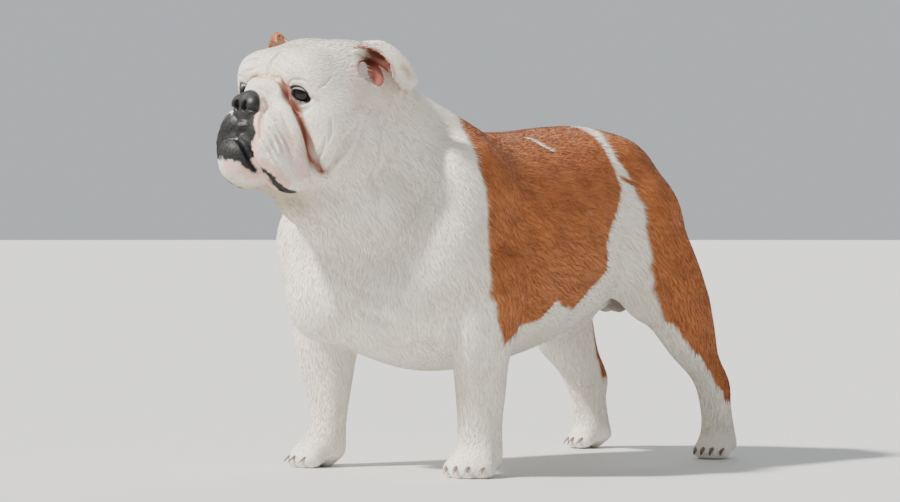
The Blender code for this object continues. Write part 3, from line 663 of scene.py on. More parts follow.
# The crease behind that roll, the fold beside the nose, the line of the mouth, the furrow of the
# forehead, the fold of the cheek and the one under the eye
BEHIND_ROLL = [
    (10, -114, 44), (24, -108, 38), (37, -104, 21), (47, -103, 4),
    (58, -102, -16), (66, -98, -34), (69, -90, -54),
]
BESIDE_NOSE = [(18, -134, 27), (26, -133, 10), (32, -138, -6), (38, -142, -20)]
MOUTH = [
    (0, -154, -17), (10, -154, -19), (20, -153, -27),
    (31, -148, -46), (38, -138, -62), (46, -120, -78),
]
FURROW = [(0, -116, 46), (0, -116, 62), (0, -98, 78)]
CHEEK_FOLD = [(98, -60, 0), (92, -74, -24), (72, -82, -54)]
UNDER_EYE = [(34, -104, 12), (46, -104, 8), (62, -92, 12)]
NOSTRIL_SLIT = [(7, -147, 9), (13, -146, 8), (21, -140, 9)]
# Creases, drawn on both sides: blend, half width at even steps, path
CREASES = [
    (3, (2, 4, 4, 4, 2), BEHIND_ROLL),
    (3, (1, 2.5, 2.5, 1), BESIDE_NOSE),
    (3, (3, 3.5, 4, 4, 2), MOUTH),
    (4, (1, 2.5, 1), FURROW),
    (6, (1, 4, 1), CHEEK_FOLD),
    (5, (0.5, 2, 0.5), UNDER_EYE),
]
# How far out of the skin the middles of creases, ridges and fine creases lie, in half widths, and how
# much wider the fine creases are cut
SUNK, RIDGE_HEIGHT, FINE_HEIGHT = -0.15, -0.3, 0.1
FINE = 1.5


def on_skin(distance, path, height):
    """The path's points moved along the slope until they lie height outside the skin."""
    points = np.array(path, float)
    for _ in range(12):
        here = distance(points)
        slope = np.stack([distance(points + step) - here for step in np.eye(3)], axis=1)
        slope /= np.maximum(np.linalg.norm(slope, axis=1, keepdims=True), 1e-6)
        points -= (here - height)[:, None] * slope
    return [tuple(p) for p in points]


# Finer forms of the face, that the solids are too coarse for. Creases: blend, half width, path.
FINE_CREASES = [
    (1.5, (0.5, 1.1, 0.5), [(37, -112, 36), (47, -114, 41), (57, -111, 42), (65, -107, 40), (70, -102, 33)]),
    (2, (0.5, 1.2, 0.5), [(35, -109, 26), (41, -107, 20), (50, -105, 17), (60, -103, 18), (68, -102, 23)]),
    (2, (0.4, 1.0, 0.4), [(37, -113, 18), (42, -109, 12), (51, -105, 8), (64, -103, 12)]),
    (2, (0.5, 1.6, 1.6, 0.5), [(19, -130, 20), (25, -128, 13), (37, -131, 6), (45, -130, -1)]),
    (1.5, (0.4, 1.0, 0.4), [(42, -122, 7), (50, -122, -3), (56, -119, -13)]),
    (1.5, (0.6, 1.6, 0.8), [(41, -142, -13), (48, -138, -19), (52, -135, -29), (53, -133, -34)]),
    (1.5, (0.6, 1.6, 0.8), [(45, -138, -9), (51, -133, -16), (55, -130, -26), (56, -128, -32)]),
    (1.5, (0.6, 1.4, 0.6), [(49, -132, -7), (54, -128, -15), (58, -124, -24), (58, -122, -30)]),
    (1.5, (0.6, 1.6, 0.8), [(41, -144, -20), (47, -141, -28), (51, -137, -36), (53, -134, -40)]),
    (1.5, (0.5, 1.3, 0.6), [(41, -146, -28), (46, -142, -36), (49, -138, -43)]),
    (2, (0.4, 1.2, 0.4), [(80, -91, -17), (77, -92, -28), (70, -92, -39), (63, -93, -48)]),
    (2, (0.4, 1.0, 0.4), [(85, -89, 2), (84, -88, -11), (82, -89, -21)]),
    (3, (0.5, 1.6, 0.5), [(65, -101, -49), (60, -92, -60), (53, -79, -69)]),
    (2, (0.4, 1.3, 0.4), [(10, -109, 57), (32, -114, 49), (42, -113, 47)]),
    (3, (0.4, 1.4, 0.4), [(17, -102, 64), (51, -110, 56), (63, -107, 46)]),
    (2, (0.4, 1.0, 0.4), [(74, -99, 34), (77, -94, 38), (78, -87, 45)]),
]
# Ridges of the whisker pad: blend, half thickness, path
RIDGES = [
    (2, (0.5, 2.2, 1.5), [(44, -141, -9), (50, -137, -17), (54, -133, -27), (55, -131, -34)]),
    (2, (0.5, 2.2, 1.5), [(40, -144, -16), (47, -140, -24), (52, -136, -33), (53, -134, -38)]),
    (2, (0.5, 2.2, 1.5), [(40, -145, -24), (46, -142, -32), (50, -138, -40), (52, -135, -44)]),
]
# The eyelids: the rims above and below the opening
UPPER_LID = [(38, -109, 32), (46, -110, 35), (55, -108, 35), (60, -105, 32), (63, -104, 28)]
LOWER_LID = [(37, -108, 30), (41, -106, 25), (47, -102, 24), (53, -100, 25), (62, -103, 27)]
EYE_SOCKET = ((50, -114, 26), (15, 10, 8))
NOSE_WING = ((13, -137, 13), (9.5, 9, 9.5))
NOSTRIL = ((7, -147, 12), (4.6, 9, 6), 0, 0, 25)
SLIT_SIZE = (2, 2, 1)
EAR_SHEET = 1.3  # half the thickness of the ear's skin


def sheet(spots, half):
    """A thin skin through a grid of points, rounded along its edges."""
    rows, columns = spots.shape[:2]
    corners = [
        (i * columns + j, (i + 1) * columns + j, (i + 1) * columns + j + 1, i * columns + j + 1)
        for i in range(rows - 1)
        for j in range(columns - 1)
    ]
    flat = spots.reshape(-1, 3)
    tree = BVHTree.FromPolygons(flat.tolist(), corners)

    def distance(points):
        return np.array([tree.find_nearest(p)[3] for p in points.tolist()]) - half

    return within(distance, flat.min(0) - half, flat.max(0) + half)


def ear_form(side, sign):
    """The ear's cup: its root in the skull, a crest that falls backward, the free edge in front."""
    root = Vector((*EAR_ROOT, 0))
    swing = Matrix.Rotation(math.radians(-EAR_SWING[side]), 3, "Z")
    rows = []
    for row in EAR_ROWS:
        placed = [swing @ (Vector(p) - root) + root for p in row]
        rows.append([(sign * p.x, p.y, p.z + EAR_LIFT[side]) for p in placed])
    along = [smooth_path(row, 30) for row in rows]
    return sheet(np.array([curve(points, 20) for points in zip(*along)]), EAR_SHEET)


def draw(forms, way, rows, height, wider=1):
    """Puts ropes on, or cuts them away, along paths on the skin as it stands so far."""
    for blend, radii, path in rows:
        line = on_skin(blended(forms), path, height * max(radii))
        forms += both_sides(way, blend, tube(line, wider * np.array(radii)))


def head_form():
    forms = []
    for paired, blend, centre, radii in SKULL + FACE:
        form = blob(centre, radii)
        forms += both_sides(1, blend, form) if paired else [(1, blend, form)]
    forms += both_sides(1, 4, tube(ROLL, ROLL_SIZE))
    forms += both_sides(-1, 5, blob(*EAR_HOLLOW))
    draw(forms, -1, CREASES, SUNK)
    draw(forms, 1, RIDGES, RIDGE_HEIGHT)
    draw(forms, -1, FINE_CREASES, FINE_HEIGHT, FINE)
    # Eye: the socket, the lids and the opening between them
    forms += both_sides(-1, 8, blob(*EYE_SOCKET))
    forms += both_sides(1, 3, blob(EYE_AT, (LID_RADIUS,) * 3))
    forms += both_sides(-1, 1.5, blob(*EYE_OPENING))
    # Nostril: the wing, the hole and the slit under the wing
    forms += both_sides(1, 5, blob(*NOSE_WING))
    forms += both_sides(-1, 1.5, blob(*NOSTRIL))
    forms += both_sides(-1, 1.5, tube(NOSTRIL_SLIT, SLIT_SIZE))
    for side, sign in SIDES.items():
        forms.append((1, 5, ear_form(side, sign)))
    return blended(forms)


def head_matrix():
    return (
        Matrix.Translation(mm(*HEAD_PIVOT))
        @ Matrix.Rotation(math.radians(HEAD_YAW), 4, "Z")
        @ Matrix.Rotation(math.radians(HEAD_PITCH), 4, "X")
        @ Matrix.Rotation(math.radians(HEAD_ROLL), 4, "Y")
    )


def to_head(points):
    """Points in metres, as thousandths in the head's own frame."""
    back = np.array(head_matrix().inverted())
    return (points @ back[:3, :3].T + back[:3, 3]) / MM


def from_head(points):
    place = np.array(head_matrix())
    return (points * MM) @ place[:3, :3].T + place[:3, 3]


def ramp(value, start, end):
    """0 up to start, 1 from end on, and smooth between."""
    share = np.clip((value - start) / (end - start), 0, 1)
    return share * share * (3 - 2 * share)


# The skin. BODY_STEP is the size of its faces, in thousandths. The head's are half that.
BODY_STEP = 2.0
# Folds of the body's loose skin: path, half width, height
BODY_FOLDS = [
    ([(96, -196, 400), (108, -214, 350), (96, -246, 296), (64, -276, 262)], 12, -4),
    ([(62, -300, 300), (66, -284, 268), (52, -276, 236)], 10, -4),
    ([(0, -266, 250), (0, -250, 190), (0, -210, 128)], 12, -6),
    ([(90, -238, 176), (72, -222, 150), (84, -190, 132)], 9, -5),
    ([(146, -118, 290), (146, -112, 235), (140, -110, 180), (130, -112, 140)], 9, -4),
    ([(118, 52, 330), (124, 54, 280), (116, 56, 230), (92, 64, 190)], 20, -6),
]
RIBS = [
    ([(126, y, 320), (146, y - 6, 270), (140, y, 215)], 9, 1.6) for y in (-92, -58, -24, 10)
]
# Finer folds of the left side: of the neck behind the cheek, the dewlap and the breast
FINE_FOLDS = [
    ([(88, -276, 393), (89, -285, 361), (77, -283, 330), (69, -280, 288), (69, -266, 262)], 5, -4.5),
    ([(90, -303, 397), (90, -312, 376), (86, -319, 350), (70, -323, 324)], 4.5, -3.5),
    ([(17, -339, 300), (25, -326, 283), (-1, -281, 265), (9, -269, 248)], 5, -4),
    ([(-11, -251, 181), (48, -268, 174), (83, -258, 162)], 6, -3),
    ([(-19, -266, 224), (1, -254, 208), (67, -271, 193)], 6, -2.5),
]
ELBOW_FOLD = ([(160, -185, 214), (162, -176, 204), (162, -169, 182), (155, -158, 140)], 5, -2)
# The grid that the head's skin is read from: its low and high corners, and its step
HEAD_GRID = ((-125, -178, -100), (125, 70, 112), 1.8)
# Voxel size of the body alone. Rounds of smoothing: the body alone, the whole skin, the neck, the body
BODY_VOXEL = 4
BODY_ROUNDS, SKIN_ROUNDS, NECK_ROUNDS, LAST_ROUNDS = 6, 3, 47, 8
# The head is drawn onto its form: from how far ahead of the neck, in widths of its blend, at what probe
# and longest step, and up to which distance
SETTLE_FROM, SETTLE_FULL = 1.1, 2.2
PROBE, FARTHEST_STEP = 0.4, 1.5
NEAR_ENOUGH, TOO_FAR = 6, 10


def refine(obj, chosen):
    """Splits every face whose corners are all chosen into four."""
    shape = bmesh.new()
    shape.from_mesh(obj.data)
    shape.verts.ensure_lookup_table()
    edges = [e for e in shape.edges if chosen[e.verts[0].index] and chosen[e.verts[1].index]]
    bmesh.ops.subdivide_edges(shape, edges=edges, cuts=1, use_grid_fill=True)
    shape.to_mesh(obj.data)
    shape.free()


def beyond_neck(spots):
    """How far points in thousandths are ahead of the plane where the head meets the neck."""
    return (spots - HEAD_PIVOT) @ NECK_PLANE


def settle(obj, distance, rounds=3):
    """Draws the skin of the head onto its exact form, which the remesh has blurred."""
    points = points_of(obj.data)
    share = ramp(beyond_neck(points / MM), NECK_BLEND * SETTLE_FROM, NECK_BLEND * SETTLE_FULL)
    near = np.flatnonzero(share > 0)
    start = to_head(points[near])
    spots = start.copy()
    for _ in range(rounds):
        here = distance(spots)
        slope = [(distance(spots + PROBE * axis) - here) / PROBE for axis in np.eye(3)]
        slope = np.stack(slope, axis=1)
        steep = np.maximum((slope**2).sum(1), 0.3)
        spots -= np.clip(here / steep, -FARTHEST_STEP, FARTHEST_STEP)[:, None] * slope
    moved = np.linalg.norm(spots - start, axis=1)
    hold = share[near] * (1 - ramp(moved, NEAR_ENOUGH, TOO_FAR))
    points[near] = from_head(start + hold[:, None] * (spots - start))
    set_points(obj.data, points)


def build_skin(form):
    body = join_bodies("Body", [build_trunk(), build_legs(), build_under()])
    body = relax(remeshed(body, BODY_VOXEL), BODY_ROUNDS)
    strokes(body, both(BODY_FOLDS + RIBS))
    head = skin_of("Head", form, *HEAD_GRID)
    head.matrix_world = head_matrix()
    bpy.context.view_layer.update()
    skin = relax(remeshed(join_bodies("Skin", [body, head]), BODY_STEP), SKIN_ROUNDS)
    # The skin of the neck runs on into the head without a line
    away = beyond_neck(points_of(skin.data) / MM) / NECK_BLEND
    relax(skin, NECK_ROUNDS, np.exp(-(away**2)))
    relax(skin, LAST_ROUNDS, 1 - ramp(away, -1, 1))
    refine(skin, beyond_neck(points_of(skin.data) / MM) > NECK_BLEND)
    settle(skin, form)
    strokes(skin, FINE_FOLDS + both([ELBOW_FOLD]))
    return skin


# Colours as the eye names them, from 0 to 255, turned into the shader's own scale
def colour(red, green, blue):
    share = np.array([red, green, blue]) / 255
    return np.where(share < 0.04045, share / 12.92, ((share + 0.055) / 1.055) ** 2.4)


WHITE = colour(243, 237, 226)
CREAM = colour(226, 205, 168)
TAN = colour(190, 150, 110)
BROWN = colour(176, 104, 52)
DARK_BROWN = colour(112, 56, 26)
PINK = colour(222, 170, 160)
ROSE = colour(196, 120, 108)
RUST = colour(142, 62, 38)
BLACK = colour(24, 22, 24)
GREY = colour(150, 138, 132)
OLIVE = colour(168, 150, 112)


def wobble(points, length, seed):
    """Soft bumps from -1 to 1, about length across, the same each time."""
    rng = np.random.default_rng(seed)
    total = np.zeros(len(points))
    for _ in range(18):
        wave = rng.normal(size=3)
        wave *= 2 * np.pi / length / np.linalg.norm(wave) * rng.uniform(0.6, 1.6)
        total += np.sin(points @ wave + rng.uniform(0, 6.28))
    return np.clip(total / 6, -1, 1)


def line_gap(points, path, reach=20):
    """Distance to a path, or a large number beyond reach."""
    near, gap, _ = beside(points, curve(path, 16), reach)
    result = np.full(len(points), 99.0)
    result[near] = gap
    return result


def nearness(points, path, width):
    """1 on a path, falling to 0 at about twice its half width."""
    return np.exp(-((line_gap(points, path, 2.5 * width) / width) ** 2))


# The brown saddle and thigh. An edge is how far back it lies, for a height. The saddle's lower edge is
# its height, for a place along Y
SADDLE_FRONT = [(145, -169), (172, -184), (199, -195), (225, -197), (251, -195), (283, -192),
                (309, -193), (335, -195), (362, -191), (383, -171), (396, -158)]
SADDLE_LOWER = [(-169, 145), (-149, 155), (-87, 169), (-68, 191), (-52, 184), (-33, 176),
                (-12, 201), (4, 212), (16, 222), (60, 236)]
SADDLE_BACK = [(200, 22), (231, 13), (250, 7), (269, 16), (287, 33), (300, 45), (314, 53),
               (327, 49), (339, 48), (356, 52), (368, 56), (378, 62), (384, 69), (392, 76)]
BAND_BACK = [(60, 214), (77, 206), (89, 196), (113, 174), (124, 159), (142, 140), (165, 118),
             (188, 102), (216, 92), (244, 87), (272, 80), (300, 77), (328, 68), (345, 62),
             (359, 63), (371, 66), (381, 83), (392, 96)]
# Up to its top the right leg is brown only behind this line and above its end. The left one ends lower
RIGHT_HOCK = [(60, 238), (100, 222), (140, 205), (180, 196), (225, 180)]
RIGHT_HOCK_TOP, RIGHT_HOCK_END = 225, 88
HOCK_END = 72
# Over the spine the white band closes: where the strip's middle lies to the right, its half width, its
# lowest height and its front end
SPINE_ASIDE, SPINE_HALF, SPINE_LOW, SPINE_FRONT = 8, 16, 330, -150
# Towards the spine the saddle's front edge lies further back, and on the inside of the thigh the brown's
BACK_HALF, BACK_SLOPE = 85, 0.3
THIGH_HALF, THIGH_SLOPE, THIGH_TOP = 104, 0.7, 215
# How much higher the right saddle starts, and how much earlier it ends
RIGHT_LOWER, RIGHT_BACK = 14, 6
BROWN_EDGE = 2.5
WHITE_STREAK = [(51, -35, 371), (62, -33, 367), (74, -33, 361), (84, -28, 355)]
BROWN_SPOT = [(110, 56, 325), (110, 66, 322), (111, 71, 319)]
STREAK_WIDTH, SPOT_WIDTH = 3, 3.5
# How ragged the edges are, in thousandths: the long waves, the short ones, and more on the right side
RAGGED, RAGGED_FINE, RAGGED_RIGHT = 1.8, 0.5, 9


def table(value, rows):
    return np.interp(value, *zip(*rows))


def brown_of(spots):
    """How brown the coat is, from 0 to 1, at points in model thousandths."""
    x, y, z = spots.T
    right = x < 0
    ragged = RAGGED * wobble(spots, 34, 1) + RAGGED_FINE * wobble(spots, 8, 2)
    y = y + ragged + np.where(right, RAGGED_RIGHT * wobble(spots, 70, 3), 0)
    z = z + ragged
    top = BACK_SLOPE * np.maximum(BACK_HALF - np.abs(x), 0)
    ahead = y - table(z, SADDLE_FRONT) - top
    above = z - table(y, SADDLE_LOWER) - np.where(right, RIGHT_LOWER, 0)
    behind = table(z, SADDLE_BACK) - y - np.where(right, RIGHT_BACK, 0)
    saddle = np.min([ahead, above, behind], axis=0)
    inner = THIGH_SLOPE * np.maximum(THIGH_HALF - np.abs(x), 0) * (z < THIGH_TOP)
    rump = np.minimum(y - table(z, BAND_BACK) - inner, z - HOCK_END)
    spine = SPINE_HALF - np.abs(x + SPINE_ASIDE)
    spine = np.min([spine, z - SPINE_LOW, y - SPINE_FRONT], axis=0)
    hock = np.minimum(y - table(z, RIGHT_HOCK), z - RIGHT_HOCK_END)
    rump = np.where(right & (z < RIGHT_HOCK_TOP), np.minimum(rump, hock), rump)
    brown = ramp(np.max([saddle, rump, spine], axis=0), -BROWN_EDGE, BROWN_EDGE)
    streak = ramp(nearness(spots, WHITE_STREAK, STREAK_WIDTH), 0.3, 0.7)
    spot = ramp(nearness(spots, BROWN_SPOT, SPOT_WIDTH), 0.3, 0.7)
    return np.maximum(brown * (1 - streak), spot)


# Tints of the head, some of them painted shade, on both sides: colour, strength, half width, path
HEAD_TINTS_AND_SHADE = [
    (CREAM, 0.55, 9, [(-24, -109, 57), (-18, -111, 49), (0, -116, 46), (18, -112, 44)]),
    # Inner corner of the eye: partly its own dark skin, partly painted shade in the corner
    (BLACK, 0.6, 4, [(33, -111, 30), (36, -110, 30), (39, -110, 31)]),
    (CREAM, 0.5, 8, [(30, -110, 40), (40, -108, 20), (52, -104, -2), (66, -98, -30)]),
    (ROSE, 0.55, 1.8, [(19, -130, 20), (25, -128, 13), (37, -131, 6), (45, -130, -1)]),
    (PINK, 0.6, 9, [(56, -118, -20), (62, -112, -40), (62, -106, -56)]),
    # Under the lower lid: partly the grey of the skin there, partly painted shade under the lid
    (GREY, 0.7, 5, [(38, -108, 22), (46, -104, 18), (58, -102, 20)]),
    (ROSE, 0.5, 3.5, [(62, -103, 27), (67, -101, 25), (72, -98, 22)]),
    # Painted shade in the fold above the upper lid
    (GREY, 0.35, 6, [(34, -112, 36), (40, -113, 42), (50, -112, 44)]),
    # Under the jaw and throat: partly a cream tone of the coat, partly painted shade under the jaw
    (OLIVE, 0.6, 22, [(20, -120, -86), (30, -90, -92), (30, -60, -92)]),
    (OLIVE, 0.6, 22, [(0, -130, -78), (0, -100, -90), (0, -60, -92)]),
    (PINK, 0.35, 16, [(76, -60, 40), (84, -56, 20)]),
    (RUST, 0.95, 6, BEHIND_ROLL[1:]),
    # Painted shade along the bottom of the crease behind the roll, over its rust stain
    (RUST * 0.5, 0.9, 2.6, BEHIND_ROLL[1:]),
]
# The ear and the way its inside faces, the flesh of its cup and the painted shade in the cup's depth, how
# far out and up the cup goes, the rim and the spots of its flap. An ellipsoid is its centre and radii
EAR = ((92, -26, 52), (26, 36, 46))
EAR_INWARD = (-0.5, -0.55, -0.65)
EAR_FLESH = ((79, -28, 59), (17, 26, 25))
EAR_CUP_SHADE = ((78, -31, 68), (14, 20, 14))
EAR_CUP_X, EAR_CUP_Z = 93, 77
EAR_RIM = [(70, -58, 78), (80, -48, 78), (88, -38, 74), (94, -30, 66)]
EAR_SPOTS = [
    [(106, -14, 60), (108, -10, 56), (110, -8, 52)],
    [(98, -26, 60), (100, -25, 56), (101, -24, 52)],
    [(108, -12, 34), (109, -10, 30), (109, -8, 27)],
]
# The black of the muzzle: both sides of its front, the chin, the far lip and the end of the flew
BLACK_FRONT = [((0, -146, -6), (25, 18, 16)), ((18, -150, -14), (15, 14, 13))]
BLACK_CHIN = ((0, -152, -36), (32, 16, 14))
BLACK_FAR_LIP = ((30, -140, -40), (26, 26, 44))
BLACK_FLEW = ((47, -118, -76), (9, 15, 5))
# Half width of the black along the lip, and how far back the pink beside it goes
LIP_EDGE, PINK_BACK = 6, -116
NOSE_LEATHER = ((0, -141, 13), (25, 15, 20))
SCROTUM_SKIN = ((0, 157, 186), (30, 26, 24))
# Roughness: the coat, bare skin, lips, lids, and how much smoother the moist crease is
COAT_ROUGH, BARE_ROUGH, LIP_ROUGH, LID_ROUGH = 0.62, 0.5, 0.56, 0.4
MOIST = 0.12


def paint(base, tint, share):
    return base + share[:, None] * (tint - base)


def patch(points, shape, start, end):
    """1 deeper than end inside an ellipsoid, 0 up to the depth start, and smooth between."""
    return ramp(-blob(*shape)(points), start, end)


def colours_of(spots, head_spots, facing, form):
    """Colour and roughness of skin and coat at points in model and in head thousandths."""
    pale = WHITE * (1 - 0.05 * np.clip(wobble(spots, 60, 5), 0, 1)[:, None])
    tint = paint(pale, CREAM, 0.18 * np.clip(wobble(spots, 90, 6) + 0.2, 0, 1))
    rough = np.full(len(spots), COAT_ROUGH)
    ahead = beyond_neck(spots)
    # Brown, with darker hair along the back
    brown = brown_of(spots) * (ahead < NECK_BLEND)
    deep = 0.35 * wobble(spots * (1, 0.3, 1), 12, 7) + 0.25 * wobble(spots, 40, 8)
    dark = np.clip(0.25 + deep + 0.35 * ramp(spots[:, 2], 290, 380), 0, 1)
    tint = paint(tint, paint(np.tile(BROWN, (len(spots), 1)), DARK_BROWN, dark * 0.6), brown)
    tint = paint(tint, GREY * 0.8, patch(spots, SCROTUM_SKIN, -1, 3))
    near = np.flatnonzero(ahead > -60)
    tint[near], rough[near] = head_colours(
        head_spots[near], facing[near], form, tint[near], rough[near]
    )
    return tint, rough


def head_colours(spots, facing, form, tint, rough):
    side = np.abs(spots)
    side[:, 1:] = spots[:, 1:]
    for shade, strength, width, path in HEAD_TINTS_AND_SHADE:
        tint = paint(tint, shade, strength * nearness(side, on_skin(form, path, 0), width))
    crease = nearness(side, on_skin(form, BEHIND_ROLL, 0), 4)
    rough = rough - MOIST * ramp(crease, 0.4, 0.7)
    tint, rough = muzzle_colours(spots, side, form, tint, rough)
    leather = patch(side, NOSE_LEATHER, -1, 1)
    tint = paint(tint, BLACK * 0.8, leather)
    rough = rough + leather * (BARE_ROUGH - rough)
    tint, rough = ear_colours(spots, side, facing, tint, rough)
    # Rims of the lids
    lids = np.minimum(line_gap(side, UPPER_LID), line_gap(side, LOWER_LID))
    rim = np.maximum(ramp(-lids, -2.5, -1.4), patch(side, EYE_OPENING, -2.2, -1.2))
    tint = paint(tint, BLACK * 1.4, rim)
    return tint, rough + rim * (LID_ROUGH - rough)


def muzzle_colours(spots, side, form, tint, rough):
    """Black on the muzzle's front, the chin and the edge of the upper lip, with pink beside it."""
    left = spots[:, 0] > 0
    ragged = 1.3 * wobble(spots, 9, 11) + 0.6 * wobble(spots, 4, 12)
    parts = [blob(*shape)(side) for shape in [*BLACK_FRONT, BLACK_FLEW]]
    parts.append(line_gap(side, on_skin(form, MOUTH, 0)) - LIP_EDGE)
    parts.append(blob(*BLACK_CHIN)(spots))
    parts.append(np.where(left, 99, blob(*BLACK_FAR_LIP)(side)))
    inside = -np.min(parts, axis=0) - ragged
    black = ramp(inside, -1, 1)
    pink = ramp(inside, -13, -5) * (1 - black) * left * (spots[:, 1] < PINK_BACK)
    tint = paint(paint(tint, PINK, 0.85 * pink), BLACK, black)
    return tint, rough + black * (LIP_ROUGH - rough) + pink * (BARE_ROUGH - rough)


def ear_colours(spots, side, facing, tint, rough):
    """Brown outside on the right, spotted on the left, and flesh inside, with painted shade deep in the cup.
    """
    left = spots[:, 0] > 0
    inward = (facing * (np.where(left, 1, -1)[:, None] * (1, 0, 0) + (0, 1, 1))) @ EAR_INWARD
    inward = ramp(inward, -0.05, 0.25)
    ear = patch(side, EAR, -2, 2)
    inside, outside = ear * inward, ear * (1 - inward)
    flap = ramp(side[:, 0], 66, 74) * ramp(spots[:, 2], 44, 56) * (spots[:, 1] > -64)
    tint = paint(tint, BROWN, flap * ~left)
    for path in EAR_SPOTS:
        tint = paint(tint, TAN, 0.75 * nearness(spots, path, 4) * outside)
    cup = (side[:, 0] < EAR_CUP_X) & (side[:, 2] < EAR_CUP_Z) & (facing[:, 1] < 0.1)
    cup = np.maximum(inward, cup)
    flesh = patch(side, EAR_FLESH, -2, 4) * cup
    tint = paint(tint, PINK * 0.8, 0.8 * inside)
    tint = paint(tint, ROSE * 0.75, flesh)
    # Painted shade in the depth of the ear's cup
    tint = paint(tint, DARK_BROWN * 0.5, patch(side, EAR_CUP_SHADE, -2, 4) * cup)
    tint = paint(tint, BROWN * 0.8, 0.85 * nearness(side, EAR_RIM, 3.6))
    return tint, rough + np.maximum(inside, flesh) * (BARE_ROUGH - rough)


def set_attribute(mesh, name, kind, values):
    attribute = mesh.attributes.new(name, kind, "POINT")
    key = "color" if kind == "FLOAT_COLOR" else "value"
    if kind == "FLOAT_COLOR":
        values = np.concatenate([values, np.ones((len(values), 1))], axis=1)
    attribute.data.foreach_set(key, np.ascontiguousarray(values, np.float32).ravel())


# Coat
# Which way the hair lies, at places of the body's left side: place, direction, reach
LIE = [
    ((0, -310, 300), (0, 0.3, -1), 40),
    ((60, -290, 330), (0.1, 0.5, -0.8), 40),
    ((90, -240, 370), (0, 0.7, -0.7), 40),
    ((0, -200, 430), (0, 1, -0.4), 50),
    ((130, -180, 300), (0, 0.5, -0.85), 50),
    ((0, -100, 385), (0, 1, 0), 60),
    ((60, -60, 370), (0.1, 1, -0.1), 60),
    ((140, -60, 270), (0, 0.9, -0.45), 60),
    ((130, 20, 260), (0, 0.85, -0.5), 60),
    ((60, 100, 370), (0.1, 0.9, -0.4), 50),
    ((120, 100, 270), (0, 0.5, -0.85), 50),
    ((90, 180, 230), (0, 0.2, -1), 50),
    ((0, -100, 120), (0, 1, 0), 60),
    ((50, -250, 200), (0.15, 0.3, -0.9), 50),
    ((0, -260, 220), (0, 0.2, -1), 40),
    ((120, -172, 150), (0, 0.15, -1), 40),
    ((111, -167, 70), (0, 0.05, -1), 40),
    ((111, -195, 25), (0.2, -0.9, -0.3), 22),
    ((104, 150, 150), (0, 0.3, -1), 40),
    ((111, 212, 80), (0, 0, -1), 40),
    ((112, 195, 25), (0.2, -0.9, -0.3), 22),
    ((0, 195, 290), (0, 0.1, -1), 25),
]
HEAD_LIE = [
    ((0, -124, 40), (0, 0.5, 0.8), 14),
    ((0, -95, 78), (0, 1, 0.2), 20),
    ((0, -30, 88), (0, 1, -0.1), 40),
    ((45, -108, 46), (0.3, 0.5, 0.8), 14),
    ((55, -102, 8), (0.6, 0.5, -0.6), 14),
    ((90, -70, 0), (0.1, 0.9, -0.5), 30),
    ((90, -40, -40), (0, 0.8, -0.7), 30),
    ((50, -112, -10), (0.5, 0.3, -0.8), 14),
    ((45, -132, -35), (0.3, 0.4, -0.9), 16),
    ((0, -150, -50), (0, 0.3, -0.9), 20),
    ((60, -90, -62), (0, 0.6, -0.8), 20),
    ((0, -90, -84), (0, 0.9, -0.3), 30),
    ((95, -25, 78), (0.6, 0.3, -0.6), 18),
    ((104, -5, 50), (0.4, 0.3, -0.9), 18),
    ((70, -70, 62), (0.2, 0.9, 0.3), 22),
]


def lie_of(points):
    """The way the hair lies at points in metres."""
    turn = np.array(head_matrix())[:3, :3]
    rows = [(np.array(place) * MM, np.array(way), reach * MM) for place, way, reach in LIE]
    rows += [
        (from_head(np.array([place], float))[0], turn @ np.array(way), reach * MM)
        for place, way, reach in HEAD_LIE
    ]
    total = np.zeros((len(points), 3))
    for place, way, reach in rows:
        for sign in (1, -1):
            flip = np.array([sign, 1, 1])
            gap = ((points - place * flip) ** 2).sum(1)
            total += np.exp(-gap / (2 * reach**2))[:, None] * (way * flip) + 1e-9 * way * flip
    return total / np.maximum(np.linalg.norm(total, axis=1, keepdims=True), 1e-12)


# Tufts in all, how much denser they stand on the face and feet, and their length, width and lift of
# the tip in millimetres, on the body and on the face and feet
TUFTS = 115000
DENSER = 3.2
BODY_TUFT = (9.5, 0.6, 0.9)
FACE_TUFT = (3.8, 0.38, 0.3)
TUFTS_EACH = 19000
# How much the tufts stray from the lie on their own and in swirls, and how their tone varies
STRAY, SWIRL, TONE = 0.16, 0.2, 0.07
# How deep a root sits in millimetres, the height of the ridge as a share of the width, and the places
# and heights of a tuft's middle and tip as shares of its length and lift
ROOT_DEPTH, RIDGE = 0.4, 0.14
MIDDLE, TIP = (0.5, 0.55), (1.0, 1.0)


def fine_of(spots, head_spots):
    """0 where the coat is as long as on the body, 1 where it is as short as on the face."""
    ahead = beyond_neck(spots)
    face = 0.35 * ramp(ahead, 0, 30) + 0.65 * ramp(-head_spots[:, 1], 60, 100) * (ahead > 0)
    ear = np.minimum(ramp(np.abs(head_spots[:, 0]), 78, 90), ramp(ahead, 20, 40))
    ear = np.minimum(ear, ramp(head_spots[:, 2], 10, 26))
    foot = ramp(-spots[:, 2], -60, -25)
    leg = 0.35 * ramp(-spots[:, 2], -150, -80)
    return np.clip(np.max([face, ear, foot, leg], axis=0), 0, 1)


def bare_of(spots, rough, facing):
    """1 where no hair grows: nose, lips, lids, inside of the ear, scrotum and soles."""
    smooth = ramp(0.6 - rough, 0.03, 0.1)
    sole = (spots[:, 2] < 9) & (facing[:, 2] < -0.5)
    return np.max([smooth, patch(spots, SCROTUM_SKIN, -1, 2), sole], axis=0)


